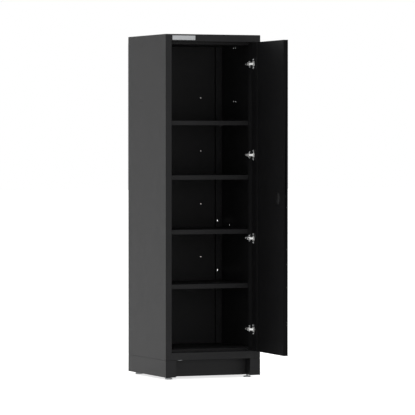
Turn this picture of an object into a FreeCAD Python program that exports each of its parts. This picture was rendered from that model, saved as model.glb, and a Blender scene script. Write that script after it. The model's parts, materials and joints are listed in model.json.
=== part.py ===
"""Tall steel side locker with one hinged door, four shelves and a plinth on levelling feet.

Every length is in millimetres. X runs along the front, -Y points out of the front and Z is up.
The origin is the centre of the cabinet's footprint, on the floor that the feet stand on.
The door is modelled open: its pieces are drawn as if shut, about the hinge line, and then swung.
"""
import FreeCAD, Part
import math
import os
import re

import Sketcher
from FreeCAD import Rotation, Vector

SIZES = [
    # cabinet
    ("width", 600),
    ("depth", 600),
    ("body_height", 2000),
    ("foot_lift", 15),
    ("wall", 1.2),
    ("bend_radius", 2),
    ("header_height", 41),
    ("plinth_height", 100),
    ("rail_height", 42),
    ("stile_width", 38),
    ("reveal_depth", 90),
    ("column_lip", 22),
    ("rear_flange", 25),
    ("joint_flange", 28),
    ("ceiling_drop", 15),
    ("floor_lip", 14),
    ("rail_flange", 25),
    # plinth
    ("block_width", 65),
    ("kick_recess", 70),
    ("kick_return", 12),
    ("kick_top_gap", 3),
    ("plinth_ledge", 30),
    ("clip_width", 28),
    ("clip_height", 9),
    ("clip_inset", 40),
    # feet
    ("foot_side_inset", 50),
    ("foot_front_inset", 80),
    ("foot_rear_inset", 50),
    ("pad_radius", 22),
    ("pad_height", 8),
    ("pad_chamfer", 1.5),
    ("stud_radius", 5),
    ("stud_seat", 4),
    ("stud_height", 75),
    ("stud_clearance", 0.08),
    ("bracket_height", 42),
    ("bracket_plate", 3),
    ("bracket_reach", 45),
    ("nut_across_flats", 17),
    ("nut_height", 8),
    # rear posts
    ("post_width", 38),
    ("post_depth", 20),
    ("slot_pitch", 32),
    ("slot_width", 10),
    ("slot_height", 5),
    ("slot_foot", 29),
    ("slot_inset", 10),
    # shelves
    ("first_shelf", 551.5),
    ("shelf_pitch", 320),
    ("shelf_sheet", 1),
    ("shelf_lip", 26),
    ("shelf_front_gap", 4),
    ("shelf_rear_gap", 4),
    ("shelf_side_gap", 2.5),
    ("stiffener_width", 60),
    ("stiffener_depth", 14),
    ("stiffener_length", 540),
    ("clip_plate", 2),
    ("clip_tab", 16),
    ("clip_rise", 14),
    ("clip_side_inset", 5),
    ("clip_span", 16),
    # holes in the sheets
    ("wall_hole_radius", 2),
    ("wall_hole_spread", 340),
    ("wall_hole_rise", 142),
    ("join_hole_radius", 3),
    ("join_hole_pitch", 32),
    ("join_hole_setback", 82),
    ("join_hole_drop", 66),
    ("bracket_hole_radius", 7),
    ("bracket_hole_inset", 25),
    ("bracket_hole_level", 612),
    ("bracket_hole_pitch", 300),
    ("side_hole_level", 888),
    ("side_hole_spread", 314),
    ("rivet_radius", 2),
    ("rivet_head_radius", 3.6),
    ("rivet_head", 1.1),
    ("rivet_edge", 13),
    ("rivet_end", 62),
    # name plate
    ("plate_width", 144),
    ("plate_height", 26),
    ("plate_sheet", 1.2),
    ("plate_corner", 3),
    ("plate_inset", 42),
    ("plate_drop", 8),
    # door
    ("door_thickness", 25),
    ("door_gap", 3),
    ("door_end_gap", 2.5),
    ("pivot_inset", 4.6),
    ("pivot_depth", 5.9),
    ("open_angle", 87),
    ("door_lip", 12),
    ("edge_strip", 10),
    ("edge_groove", 3),
    ("edge_groove_width", 13),
    ("hinge_strip_width", 86),
    ("hinge_strip_rise", 1.5),
    ("hinge_strip_inset", 11),
    ("spine_width", 60),
    ("spine_inset", 40),
    ("spine_place", 235),
    # hinges
    ("hinge_outer_spread", 1560),
    ("hinge_inner_spread", 490),
    ("hinge_setback", 71),
    ("hinge_plate_height", 48),
    ("hinge_plate_width", 34),
    ("hinge_plate_sheet", 3),
    ("hinge_plate_waist", 14),
    ("arm_width", 15),
    ("arm_thickness", 12),
    ("arm_rear", 115),
    ("arm_pivot_setback", 38),
    ("arm_pivot_inset", 16),
    ("arm_nose_radius", 5),
    ("arm_fork_depth", 8.5),
    ("cup_radius", 17.5),
    ("cup_depth", 12),
    ("cup_wall", 1.6),
    ("cup_edge", 5),
    ("cup_flange_height", 64),
    ("cup_flange_width", 17),
    ("cup_flange_rim", 2.5),
    ("cup_flange_sheet", 1.5),
    ("cup_pivot_sink", 2.6),
    ("inner_link_length", 38),
    ("outer_link_length", 42),
    ("link_radius", 3),
    ("link_sheet", 2.6),
    ("link_gap", 0.4),
    ("pin_radius", 1.5),
    ("pin_clearance", 0.08),
    ("screw_head_radius", 3.4),
    ("screw_head_height", 2),
    ("cup_screw_pitch", 48),
    ("hinge_screw_pitch", 32),
    # lock
    ("lock_level", 1060),
    ("lock_backset", 107),
    ("dish_radius", 36),
    ("dish_flange_radius", 41),
    ("dish_flange", 1.5),
    ("dish_depth", 12),
    ("dish_wall", 1.5),
    ("handle_length", 62),
    ("handle_width", 15),
    ("handle_thickness", 8),
    ("handle_sink", 1),
    ("hub_radius", 13),
    ("hub_gap", 0.5),
    ("spindle_radius", 5),
    ("spindle_clearance", 0.08),
    ("plug_radius", 6),
    ("plug_length", 7),
    ("plug_clearance", 0.08),
    ("keyway_length", 7),
    ("keyway_width", 1.6),
    ("keyway_depth", 4),
    ("pinion_radius", 8.9),
    ("pinion_thickness", 4),
    ("rack_gap", 0.3),
    ("bar_width", 12),
    ("bar_thickness", 4),
    ("bar_overlap", 8),
    ("bar_end_gap", 1),
    ("bar_clearance", 0.4),
    ("guide_width", 26),
    ("guide_height", 14),
    ("guide_inset", 45),
    ("cover_radius", 40),
    ("cover_rise", 10),
    ("cover_wall", 1.6),
    ("panel_hole_radius", 30),
    # strike and buffers
    ("strike_height", 62),
    ("strike_width", 26),
    ("strike_sheet", 1.5),
    ("slot_clearance", 1.5),
    ("buffer_size", 12),
    ("buffer_reach", 8),
    ("buffer_gap", 0.5),
    ("buffer_inset", 140),
]
NAMES = {name for name, _ in SIZES}

# Planes of the cabinet, as formulas of the sizes.
SIDE = "(width/2)"
SIDE_INNER = "(width/2 - wall)"
FRONT = "(-depth/2)"
BACK = "(depth/2)"
BACK_INNER = "(depth/2 - wall)"
LINER_BACK = "(depth/2 - 2*wall)"
PLINTH_TOP = "(foot_lift + plinth_height)"
SEAM = "(foot_lift + plinth_height - wall)"
TOP = "(foot_lift + body_height)"
CAP_BOTTOM = "(foot_lift + body_height - header_height)"
RAIL_TOP = "(foot_lift + plinth_height + rail_height)"
REVEAL = "(width/2 - stile_width)"
COLUMN_BACK = "(reveal_depth - depth/2)"
FLOOR_TOP = f"({RAIL_TOP} + floor_lip)"
CEILING = f"({CAP_BOTTOM} - ceiling_drop)"
BLOCK = "(width/2 - block_width)"
KICK_FRONT = "(kick_recess - depth/2)"
POST_FRONT = f"({LINER_BACK} - post_depth)"
POST_INNER = f"({SIDE_INNER} - post_width)"

# The hinge line, and planes of the shut door measured from it.
HINGE_X = f"({REVEAL} + pivot_inset)"
HINGE_Y = "(pivot_depth - depth/2)"
DOOR_EDGE = "(-pivot_inset - door_gap)"
DOOR_FREE = f"({DOOR_EDGE} - 2*{REVEAL} + 2*door_gap)"
SKIN_END = f"({DOOR_FREE} + edge_strip)"
DOOR_OUT = "(-pivot_depth)"
DOOR_IN = "(door_thickness - pivot_depth)"
DOOR_BOTTOM = f"({RAIL_TOP} + door_end_gap)"
DOOR_TOP = f"({CAP_BOTTOM} - door_end_gap)"
DOOR_MIDDLE = f"(({DOOR_BOTTOM} + {DOOR_TOP})/2)"
PANEL_IN = f"({DOOR_IN} - wall)"
PANEL_OUT = f"({DOOR_IN} - 2*wall)"
STRIP_IN = f"({DOOR_IN} + hinge_strip_rise)"
CUP_X = f"({DOOR_EDGE} - cup_edge - cup_radius)"
LOCK_X = f"({DOOR_FREE} + lock_backset)"
DISH_IN = f"({DOOR_OUT} + dish_depth + dish_wall)"
BAR_OUT = f"({DISH_IN} + bar_end_gap)"
BAR_IN = f"({BAR_OUT} + bar_thickness)"
BAR_OFFSET = "(pinion_radius + rack_gap + bar_width/2)"

document = FreeCAD.newDocument("SideLocker")
sizes = document.addObject("Spreadsheet::Sheet", "Sizes")
nodes = []


def formula(text):
    """The text with each size named as a cell of the sheet."""
    return re.sub(r"[a-z_]+", lambda word: "Sizes." * (word.group() in NAMES) + word.group(), text)


def number(text):
    """What the formula comes to now."""
    return float(sizes_reader.evalExpression(formula(text)))


def fill_sheet():
    for row, (name, value) in enumerate(SIZES, start=1):
        sizes.set(f"A{row}", name)
        sizes.set(f"B{row}", str(value))
        sizes.setAlias(f"B{row}", name)
    document.recompute()


def mirrored(side, low, high):
    """A pair of formulas on the right side, or the same pair seen in the middle plane."""
    return (low, high) if side > 0 else (f"(-{high})", f"(-{low})")


def finish(piece, label, hung=False):
    """Names a sub-part after its node, and hangs it on the hinge line if it is the door's."""
    piece.Label = label
    if hung:
        hang(piece)
    nodes.append(piece)
    return piece


def hang(piece, x="0", z="0"):
    """Swings a piece drawn about (x, 0, z) of the shut door to the open door's place."""
    swing = "open_angle*1deg"
    piece.setExpression("Placement.Base.x", formula(f"{HINGE_X} + {x}*cos({swing})"))
    piece.setExpression("Placement.Base.y", formula(f"{HINGE_Y} + {x}*sin({swing})"))
    piece.setExpression("Placement.Base.z", formula(z))
    piece.setExpression("Placement.Rotation.Angle", formula(swing))


def block(name, x, y, z):
    """A box between pairs of planes."""
    box = document.addObject("Part::Box", name)
    for edge, axis, (low, high) in zip(("Length", "Width", "Height"), "xyz", (x, y, z)):
        box.setExpression(edge, formula(f"{high} - {low}"))
        box.setExpression(f"Placement.Base.{axis}", formula(low))
    return box


def rod(name, axis, start, radius, length):
    """A cylinder from its start point along a positive axis."""
    turns = {"X": Rotation(Vector(0, 1, 0), 90), "Y": Rotation(Vector(1, 0, 0), -90), "Z": Rotation()}
    cylinder = document.addObject("Part::Cylinder", name)
    cylinder.Placement.Rotation = turns[axis]
    cylinder.setExpression("Radius", formula(radius))
    cylinder.setExpression("Height", formula(length))
    for letter, place in zip("xyz", start):
        cylinder.setExpression(f"Placement.Base.{letter}", formula(place))
    return cylinder


def gather(name, pieces):
    """Separate solids under one name."""
    group = document.addObject("Part::Compound", name)
    group.Links = pieces
    return group


def cut(name, base, tools):
    result = document.addObject("Part::Cut", name)
    result.Base = base
    result.Tool = tools[0] if len(tools) == 1 else gather(f"{name}_tools", tools)
    return result


def fuse(name, pieces):
    result = document.addObject("Part::MultiFuse", name)
    result.Shapes = pieces
    return result


def common(name, base, tool):
    result = document.addObject("Part::Common", name)
    result.Base = base
    result.Tool = tool
    return result


def new_sketch(body, plane, offset):
    """A sketch on one of the body's own origin planes, moved along that plane's normal."""
    support = next(item for item in body.Origin.OriginFeatures if item.Role == f"{plane}_Plane")
    sketch = body.newObject("Sketcher::SketchObject", f"{body.Name}_sketch")
    sketch.AttachmentSupport = [(support, "")]
    sketch.MapMode = "FlatFace"
    sketch.setExpression("AttachmentOffset.Base.z", formula(offset))
    return sketch


def bind_point(sketch, geometry, corner, place):
    for kind, text in zip(("DistanceX", "DistanceY"), place):
        rule = Sketcher.Constraint(kind, -1, 1, geometry, corner, number(text))
        index = sketch.addConstraint(rule)
        sketch.setExpression(f"Constraints[{index}]", formula(text))


def draw_outline(sketch, points):
    """A closed outline of straight lines, each corner bound to its two formulas."""
    places = [Vector(number(u), number(v), 0) for u, v in points]
    first = sketch.GeometryCount
    count = len(points)
    for start, end in zip(places, places[1:] + places[:1]):
        sketch.addGeometry(Part.LineSegment(start, end), False)
    for index in range(count):
        following = first + (index + 1) % count
        sketch.addConstraint(Sketcher.Constraint("Coincident", first + index, 2, following, 1))
    for index, place in enumerate(points):
        bind_point(sketch, first + index, 1, place)


def pad(body, plane, points, low, high):
    """Pads an outline on the XY or YZ plane from one level to another."""
    sketch = new_sketch(body, plane, low)
    draw_outline(sketch, points)
    feature = body.newObject("PartDesign::Pad", f"{body.Name}_pad")
    feature.Profile = sketch
    feature.setExpression("Length", formula(f"{high} - {low}"))
    sketch.Visibility = False
    return feature


def folded(name, plane, points, low, high):
    """A folded sheet: the outline of its section, padded along its length."""
    body = document.addObject("PartDesign::Body", name)
    pad(body, plane, points, low, high)
    return body


def turned(name, points):
    """A piece turned about its own Y axis from (radius, place along the axis) points."""
    body = document.addObject("PartDesign::Body", name)
    sketch = new_sketch(body, "XY", "0")
    draw_outline(sketch, points)
    feature = body.newObject("PartDesign::Revolution", f"{name}_turn")
    feature.Profile = sketch
    feature.ReferenceAxis = (sketch, ["V_Axis"])
    feature.Angle = 360
    return body


def pocket(body, sketch, length, reverse):
    """Cuts a sketch into the body, and checks that it took material away."""
    document.recompute()
    before = body.Shape.Volume
    feature = body.newObject("PartDesign::Pocket", f"{body.Name}_pocket")
    feature.Profile = sketch
    feature.setExpression("Length", formula(length))
    feature.Reversed = reverse
    document.recompute()
    if not body.Shape.Volume < before - 1:
        raise RuntimeError(f"a pocket in {body.Name} cuts nothing")
    return feature


def round_edges(body, radius, chosen):
    """Fillets the body's edges whose middle points are picked by the test."""
    document.recompute()
    base = body.Tip
    names = []
    for index, edge in enumerate(base.Shape.Edges, start=1):
        along = edge.tangentAt(edge.FirstParameter)
        if chosen(edge.CenterOfMass, along):
            names.append(f"Edge{index}")
    feature = body.newObject("PartDesign::Fillet", f"{body.Name}_bend")
    feature.Base = (base, names)
    feature.setExpression("Radius", formula(radius))
    return feature


def channel(inner, outer, back, front, end_lip, side):
    """Section of a sheet that runs along a side, across the front and back into the cabinet.

    It goes from the rear flange along the side wall, over the front face up to the plane inner,
    back to the depth of front, and ends in a lip towards the wall. A lip of no size is left out.
    """
    points = [
        ("(width/2 - rear_flange)", back),
        (outer, back),
        (outer, FRONT),
        (inner, FRONT),
        (inner, front),
    ]
    inside = [
        (f"({inner} + wall)", f"({FRONT} + wall)"),
        (f"({outer} - wall)", f"({FRONT} + wall)"),
        (f"({outer} - wall)", f"({back} - wall)"),
        ("(width/2 - rear_flange)", f"({back} - wall)"),
    ]
    if end_lip:
        lip = f"({inner} + {end_lip})"
        turn = [(lip, front), (lip, f"({front} - wall)"), (f"({inner} + wall)", f"({front} - wall)")]
    else:
        turn = [(f"({inner} + wall)", front)]
    outline = points + turn + inside
    return outline if side > 0 else [(f"(-{u})", v) for u, v in outline]


# ---------------------------------------------------------------- cabinet shell


def hinge_levels():
    return [
        f"({DOOR_MIDDLE} {sign} {spread}/2)"
        for sign, spread in (
            ("-", "hinge_outer_spread"),
            ("-", "hinge_inner_spread"),
            ("+", "hinge_inner_spread"),
            ("+", "hinge_outer_spread"),
        )
    ]


def shelf_levels():
    return [f"(first_shelf + {index}*shelf_pitch)" for index in range(4)]


def side_panel(side, label):
    """Side wall, front stile and door reveal, folded from one sheet."""
    outline = channel(REVEAL, SIDE, BACK_INNER, COLUMN_BACK, "column_lip", side)
    body = folded(f"{label}_sheet", "XY", outline, PLINTH_TOP, CAP_BOTTOM)
    front, outer, reveal = number(FRONT), number(SIDE), number(REVEAL)
    round_edges(
        body,
        "bend_radius",
        lambda middle, along: abs(along.z) > 0.99
        and abs(middle.y - front) < 0.01
        and min(abs(abs(middle.x) - outer), abs(abs(middle.x) - reveal)) < 0.01,
    )
    start = mirrored(side, f"({SIDE} - 2*wall)", f"({SIDE} + wall)")[0]
    tools = []
    for index, level in enumerate(joining_levels()):
        for place in (f"(join_hole_setback - {half}join_hole_pitch/2)" for half in ("", "-")):
            name = f"{label}_join_{len(tools)}"
            tools.append(rod(name, "X", (start, place, level), "join_hole_radius", "3*wall"))
    for sign in ("", "-"):
        place = f"({sign}side_hole_spread/2)"
        name = f"{label}_hole_{len(tools)}"
        tools.append(rod(name, "X", (start, place, "side_hole_level"), "join_hole_radius", "3*wall"))
    if side < 0:
        tools.append(bolt_slot("bolt_slot", f"(-{REVEAL} - 2*wall)", f"(-{REVEAL} + wall)"))
    tools += bracket_holes(label, side)
    return finish(cut(label, body, tools), label)


def bracket_holes(name, side):
    """Cutters for the holes right through a rear corner, where a wall bracket is bolted on."""
    x = f"({SIDE} - bracket_hole_inset)" if side > 0 else f"(bracket_hole_inset - {SIDE})"
    start, length = f"({POST_FRONT} - wall)", "post_depth + 4*wall"
    levels = ("bracket_hole_level", "(bracket_hole_level + bracket_hole_pitch)")
    return [
        rod(f"{name}_bracket_{index}", "Y", (x, start, level), "bracket_hole_radius", length)
        for index, level in enumerate(levels)
    ]


def joining_levels():
    upper = f"({TOP} - join_hole_drop)"
    return [upper, f"({upper} - shelf_pitch)"]


def bolt_slot(name, low, high):
    """The way of the side bolt through the left reveal, with slot_clearance all round."""
    middle = f"({HINGE_Y} + ({BAR_OUT} + {BAR_IN})/2)"
    level = f"(lock_level + {BAR_OFFSET})"
    half_bar = "(bar_thickness/2 + slot_clearance)"
    half_width = "(bar_width/2 + slot_clearance)"
    y = (f"({middle} - {half_bar})", f"({middle} + {half_bar})")
    z = (f"({level} - {half_width})", f"({level} + {half_width})")
    return block(name, (low, high), y, z)


def rod_slot(name, sign, low, high):
    """The way of an upright bar through a level sheet, with slot_clearance all round."""
    middle = f"({HINGE_Y} + ({BAR_OUT} + {BAR_IN})/2)"
    place = f"({HINGE_X} + {LOCK_X} {sign} {BAR_OFFSET})"
    half_bar = "(bar_thickness/2 + slot_clearance)"
    half_width = "(bar_width/2 + slot_clearance)"
    x = (f"({place} - {half_width})", f"({place} + {half_width})")
    y = (f"({middle} - {half_bar})", f"({middle} + {half_bar})")
    return block(name, x, y, (low, high))


def top_cap():
    """Lid with turned-down skirts: its front skirt is the header over the door."""
    body = document.addObject("PartDesign::Body", "top_cap")
    corners = [(f"(-{SIDE})", FRONT), (SIDE, FRONT), (SIDE, BACK), (f"(-{SIDE})", BACK)]
    pad(body, "XY", corners, CAP_BOTTOM, TOP)
    bottom = number(CAP_BOTTOM)
    round_edges(body, "bend_radius", lambda middle, along: middle.z > bottom + 0.01)
    sketch = new_sketch(body, "XY", CAP_BOTTOM)
    inside = [
        (f"(-{SIDE_INNER})", f"({FRONT} + wall)"),
        (SIDE_INNER, f"({FRONT} + wall)"),
        (SIDE_INNER, BACK_INNER),
        (f"(-{SIDE_INNER})", BACK_INNER),
    ]
    draw_outline(sketch, inside)
    pocket(body, sketch, "header_height - wall", True)
    return finish(body, "top_cap")


def roof_pan():
    """Ceiling sheet: ledge over the door, drop lip, ceiling and upturned flanges under the cap."""
    front = f"({FRONT} + wall)"
    ledge = f"({CAP_BOTTOM} + wall)"
    flange = f"({CAP_BOTTOM} + joint_flange)"
    outline = [
        (front, flange),
        (front, CAP_BOTTOM),
        (COLUMN_BACK, CAP_BOTTOM),
        (COLUMN_BACK, CEILING),
        (LINER_BACK, CEILING),
        (LINER_BACK, flange),
        (f"({LINER_BACK} - wall)", flange),
        (f"({LINER_BACK} - wall)", f"({CEILING} + wall)"),
        (f"({COLUMN_BACK} + wall)", f"({CEILING} + wall)"),
        (f"({COLUMN_BACK} + wall)", ledge),
        (f"({front} + wall)", ledge),
        (f"({front} + wall)", flange),
    ]
    body = folded("roof_sheet", "YZ", outline, f"(-{SIDE_INNER})", SIDE_INNER)
    slot = rod_slot("roof_slot", "+", f"({CAP_BOTTOM} - wall)", f"({CAP_BOTTOM} + 2*wall)")
    return finish(cut("roof_pan", body, [slot]), "roof_pan")


def bottom_rail():
    """Rail under the door with a ledge that runs back to the floor's lip."""
    outline = [
        (FRONT, PLINTH_TOP),
        (FRONT, RAIL_TOP),
        (COLUMN_BACK, RAIL_TOP),
        (COLUMN_BACK, f"({RAIL_TOP} - wall)"),
        (f"({FRONT} + wall)", f"({RAIL_TOP} - wall)"),
        (f"({FRONT} + wall)", f"({PLINTH_TOP} + wall)"),
        (f"({FRONT} + rail_flange)", f"({PLINTH_TOP} + wall)"),
        (f"({FRONT} + rail_flange)", PLINTH_TOP),
    ]
    body = folded("rail_sheet", "YZ", outline, f"(-{REVEAL})", REVEAL)
    slot = rod_slot("rail_slot", "-", f"({RAIL_TOP} - 2*wall)", f"({RAIL_TOP} + wall)")
    return finish(cut("bottom_rail", body, [slot]), "bottom_rail")


def floor_pan():
    """Cabinet floor with flanges turned down to the plinth's ledges."""
    front = COLUMN_BACK
    x = (f"(-{SIDE_INNER})", SIDE_INNER)
    outer = block("floor_block", x, (front, LINER_BACK), (SEAM, FLOOR_TOP))
    inner_x = (f"(wall - {SIDE_INNER})", f"({SIDE_INNER} - wall)")
    inner_y = (f"({front} + wall)", f"({LINER_BACK} - wall)")
    hollow = block("floor_hollow", inner_x, inner_y, (f"({SEAM} - wall)", f"({FLOOR_TOP} - wall)"))
    return finish(cut("floor_pan", outer, [hollow]), "floor_pan")


def rivet_places():
    """Rivets down both edges of the back panel, as (x, z) formulas."""
    rows = 8
    pitch = f"({CAP_BOTTOM} - {PLINTH_TOP} - 2*rivet_end)/{rows - 1}"
    places = []
    for sign in ("-", ""):
        for row in range(rows):
            level = f"({PLINTH_TOP} + rivet_end + {row}*{pitch})"
            places.append((f"({sign}({SIDE} - rivet_edge))", level))
    return places


def back_panel():
    """Flat back sheet with wall-fixing holes above each shelf and holes for its rivets."""
    sheet = block("back_sheet", (f"(-{SIDE})", SIDE), (BACK_INNER, BACK), (PLINTH_TOP, CAP_BOTTOM))
    tools = []
    for level in shelf_levels():
        for sign in ("-", ""):
            place = (f"({sign}wall_hole_spread/2)", f"({BACK} - 2*wall)", f"({level} + wall_hole_rise)")
            tools.append(rod(f"wall_hole_{len(tools)}", "Y", place, "wall_hole_radius", "3*wall"))
    for x, z in rivet_places():
        place = (x, f"({BACK} - 2*wall)", z)
        tools.append(rod(f"rivet_hole_{len(tools)}", "Y", place, "rivet_radius", "3*wall"))
    tools += bracket_holes("back_left", -1) + bracket_holes("back_right", 1)
    return finish(cut("back_panel", sheet, tools), "back_panel")


def back_rivets():
    """Blind rivets: a shank through the back panel and a domed head on it."""
    rivets = []
    for index, (x, z) in enumerate(rivet_places()):
        rivet = turned(
            f"rivet_{index}",
            [
                ("0", "(-wall)"),
                ("rivet_radius", "(-wall)"),
                ("rivet_radius", "0"),
                ("rivet_head_radius", "0"),
                ("rivet_head_radius", "(rivet_head*0.35)"),
                ("(rivet_head_radius*0.6)", "rivet_head"),
                ("0", "rivet_head"),
            ],
        )
        for axis, text in zip("xyz", (x, BACK, z)):
            rivet.setExpression(f"Placement.Base.{axis}", formula(text))
        rivets.append(rivet)
    return finish(gather("back_rivets", rivets), "back_rivets")


def rear_post(side, label):
    """Upright channel in a rear corner, slotted for the shelf clips and bored for the wall brackets."""
    u0, u1 = POST_INNER, SIDE_INNER
    outline = [
        (u0, LINER_BACK),
        (u0, POST_FRONT),
        (u1, POST_FRONT),
        (u1, LINER_BACK),
        (f"({u1} - wall)", LINER_BACK),
        (f"({u1} - wall)", f"({POST_FRONT} + wall)"),
        (f"({u0} + wall)", f"({POST_FRONT} + wall)"),
        (f"({u0} + wall)", LINER_BACK),
    ]
    if side < 0:
        outline = [(f"(-{u})", v) for u, v in outline]
    body = folded(f"{label}_sheet", "XY", outline, FLOOR_TOP, CEILING)
    middle = f"({u1} - slot_inset)" if side > 0 else f"(slot_inset - {u1})"
    low = f"({FLOOR_TOP} + slot_foot)"
    sketch = new_sketch(body, "XZ", f"(-{POST_FRONT})")
    slot = [
        (f"({middle} - slot_width/2)", low),
        (f"({middle} + slot_width/2)", low),
        (f"({middle} + slot_width/2)", f"({low} + slot_height)"),
        (f"({middle} - slot_width/2)", f"({low} + slot_height)"),
    ]
    draw_outline(sketch, slot)
    feature = pocket(body, sketch, "wall", False)
    reach = f"({CEILING} - {FLOOR_TOP} - 2*slot_foot)"
    pattern = body.newObject("PartDesign::LinearPattern", f"{label}_slots")
    pattern.Originals = [feature]
    pattern.Direction = (sketch, ["V_Axis"])
    pattern.setExpression("Occurrences", formula(f"floor({reach}/slot_pitch) + 1"))
    pattern.setExpression("Length", formula(f"floor({reach}/slot_pitch)*slot_pitch"))
    body.Tip = pattern
    return finish(cut(label, body, bracket_holes(label, side)), label)


def name_plate():
    """Bare plate on the header, upper left."""
    low_x = "(plate_inset - width/2)"
    high_x = "(plate_inset + plate_width - width/2)"
    outer = f"({FRONT} - plate_sheet)"
    outline = [(low_x, outer), (high_x, outer), (high_x, FRONT), (low_x, FRONT)]
    low = f"({TOP} - plate_drop - plate_height)"
    body = folded("name_plate", "XY", outline, low, f"({TOP} - plate_drop)")
    round_edges(body, "plate_corner", lambda middle, along: abs(along.y) > 0.99)
    return finish(body, "name_plate")


# ---------------------------------------------------------------- plinth and feet


def plinth_side(side, label):
    """Side of the plinth with its front corner block and a ledge that carries the cabinet."""
    outline = channel(BLOCK, SIDE, BACK_INNER, f"({KICK_FRONT} + kick_return)", "", side)
    body = folded(label, "XY", outline, "foot_lift", SEAM)
    low, high = f"({SIDE_INNER} - plinth_ledge)", f"({SIDE} - wall/2)"
    x = mirrored(side, low, high)
    ledge = [
        (x[0], f"({FRONT} + wall/2)"),
        (x[1], f"({FRONT} + wall/2)"),
        (x[1], f"({BACK_INNER} - wall/2)"),
        (x[0], f"({BACK_INNER} - wall/2)"),
    ]
    pad(body, "XY", ledge, f"({SEAM} - wall)", SEAM)
    front, outer = number(FRONT), number(SIDE)
    round_edges(
        body,
        "bend_radius",
        lambda middle, along: abs(along.z) > 0.99
        and abs(middle.y - front) < 0.01
        and abs(abs(middle.x) - outer) < 0.01,
    )
    return finish(body, label)


def kick_panel():
    """Set-back panel between the corner blocks, with end returns and a notch for its clip."""
    low, high = f"(-{BLOCK})", BLOCK
    back = f"({KICK_FRONT} + kick_return)"
    outline = [
        (low, back),
        (low, KICK_FRONT),
        (high, KICK_FRONT),
        (high, back),
        (f"({high} - wall)", back),
        (f"({high} - wall)", f"({KICK_FRONT} + wall)"),
        (f"({low} + wall)", f"({KICK_FRONT} + wall)"),
        (f"({low} + wall)", back),
    ]
    body = folded("kick_panel", "XY", outline, "foot_lift", f"({SEAM} - wall - kick_top_gap)")
    return finish(body, "kick_panel")


def kick_clip():
    """Spring clip over the kick panel's upper edge, near its left end."""
    top = f"({SEAM} - wall - kick_top_gap)"
    low = f"(clip_inset - {BLOCK})"
    x = (low, f"({low} + clip_width)")
    front = f"({KICK_FRONT} - 1)"
    back = f"({KICK_FRONT} + wall + 1)"
    outer = block("kick_clip_outer", x, (front, back), (f"({top} - clip_height)", f"({top} + 1)"))
    inner = block(
        "kick_clip_inner",
        (f"({low} - 1)", f"({low} + clip_width + 1)"),
        (KICK_FRONT, f"({KICK_FRONT} + wall)"),
        (f"({top} - clip_height - 1)", top),
    )
    return finish(cut("kick_clip", outer, [inner]), "kick_clip")


def plinth_rear():
    sheet = block("plinth_rear", (f"(-{SIDE})", SIDE), (BACK_INNER, BACK), ("foot_lift", SEAM))
    return finish(sheet, "plinth_rear")


def foot_places():
    """Levelling feet as (name, x, y)."""
    x = "(width/2 - foot_side_inset)"
    front = "(foot_front_inset - depth/2)"
    rear = "(depth/2 - foot_rear_inset)"
    return [
        ("front_left", f"(-{x})", front),
        ("front_right", x, front),
        ("rear_left", f"(-{x})", rear),
        ("rear_right", x, rear),
    ]


def foot_brackets():
    """Plates welded across the plinth's corners, bored for the feet's studs."""
    plates = []
    for name, x, y in foot_places():
        side = -1 if "left" in name else 1
        span = mirrored(side, f"({BLOCK} + wall)", SIDE_INNER)
        if "front" in name:
            reach = (f"({FRONT} + wall)", f"({y} + bracket_reach)")
        else:
            reach = (f"({y} - bracket_reach)", LINER_BACK)
        level = ("bracket_height", "(bracket_height + bracket_plate)")
        plate = block(f"bracket_{name}", span, reach, level)
        hole = rod(f"bracket_hole_{name}", "Z", (x, y, "0"), "(stud_radius + 1)", "2*bracket_height")
        plates.append(cut(f"bracket_bored_{name}", plate, [hole]))
    return finish(gather("foot_brackets", plates), "foot_brackets")


def foot_nuts():
    """Hexagon nuts welded on the brackets: the studs run in them."""
    nuts = []
    for name, x, y in foot_places():
        prism = document.addObject("Part::Prism", f"nut_{name}")
        prism.Polygon = 6
        prism.setExpression("Circumradius", formula("nut_across_flats/sqrt(3)"))
        prism.setExpression("Height", formula("nut_height"))
        for axis, text in zip("xyz", (x, y, "bracket_height + bracket_plate")):
            prism.setExpression(f"Placement.Base.{axis}", formula(text))
        radius = "(stud_radius + stud_clearance)"
        hole = rod(f"nut_hole_{name}", "Z", (x, y, "0"), radius, "2*stud_height")
        nuts.append(cut(f"nut_bored_{name}", prism, [hole]))
    return finish(gather("foot_nuts", nuts), "foot_nuts")


def foot(name, x, y):
    """One levelling foot: a moulded pad and the threaded stud seated in it."""
    disc = rod(f"disc_{name}", "Z", (x, y, "0"), "pad_radius", "pad_height")
    cone = document.addObject("Part::Cone", f"cone_{name}")
    cone.setExpression("Radius1", formula("pad_radius + pad_height - pad_chamfer"))
    cone.setExpression("Radius2", formula("pad_radius - pad_chamfer"))
    cone.setExpression("Height", formula("pad_height"))
    for axis, text in zip("xy", (x, y)):
        cone.setExpression(f"Placement.Base.{axis}", formula(text))
    seat = ("pad_height - stud_seat", "2*stud_seat")
    hole = rod(f"seat_{name}", "Z", (x, y, seat[0]), "stud_radius", seat[1])
    rounded = common(f"pad_form_{name}", disc, cone)
    finish(cut(f"foot_pad_{name}", rounded, [hole]), f"foot_pad_{name}")
    length = "(stud_height - pad_height + stud_seat)"
    finish(rod(f"foot_stud_{name}", "Z", (x, y, seat[0]), "stud_radius", length), f"foot_stud_{name}")


# ---------------------------------------------------------------- shelves

SHELF_FRONT = f"({COLUMN_BACK} + shelf_front_gap)"
SHELF_BACK = f"({POST_FRONT} - shelf_rear_gap)"
SHELF_SIDE = f"({SIDE_INNER} - shelf_side_gap)"


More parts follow.
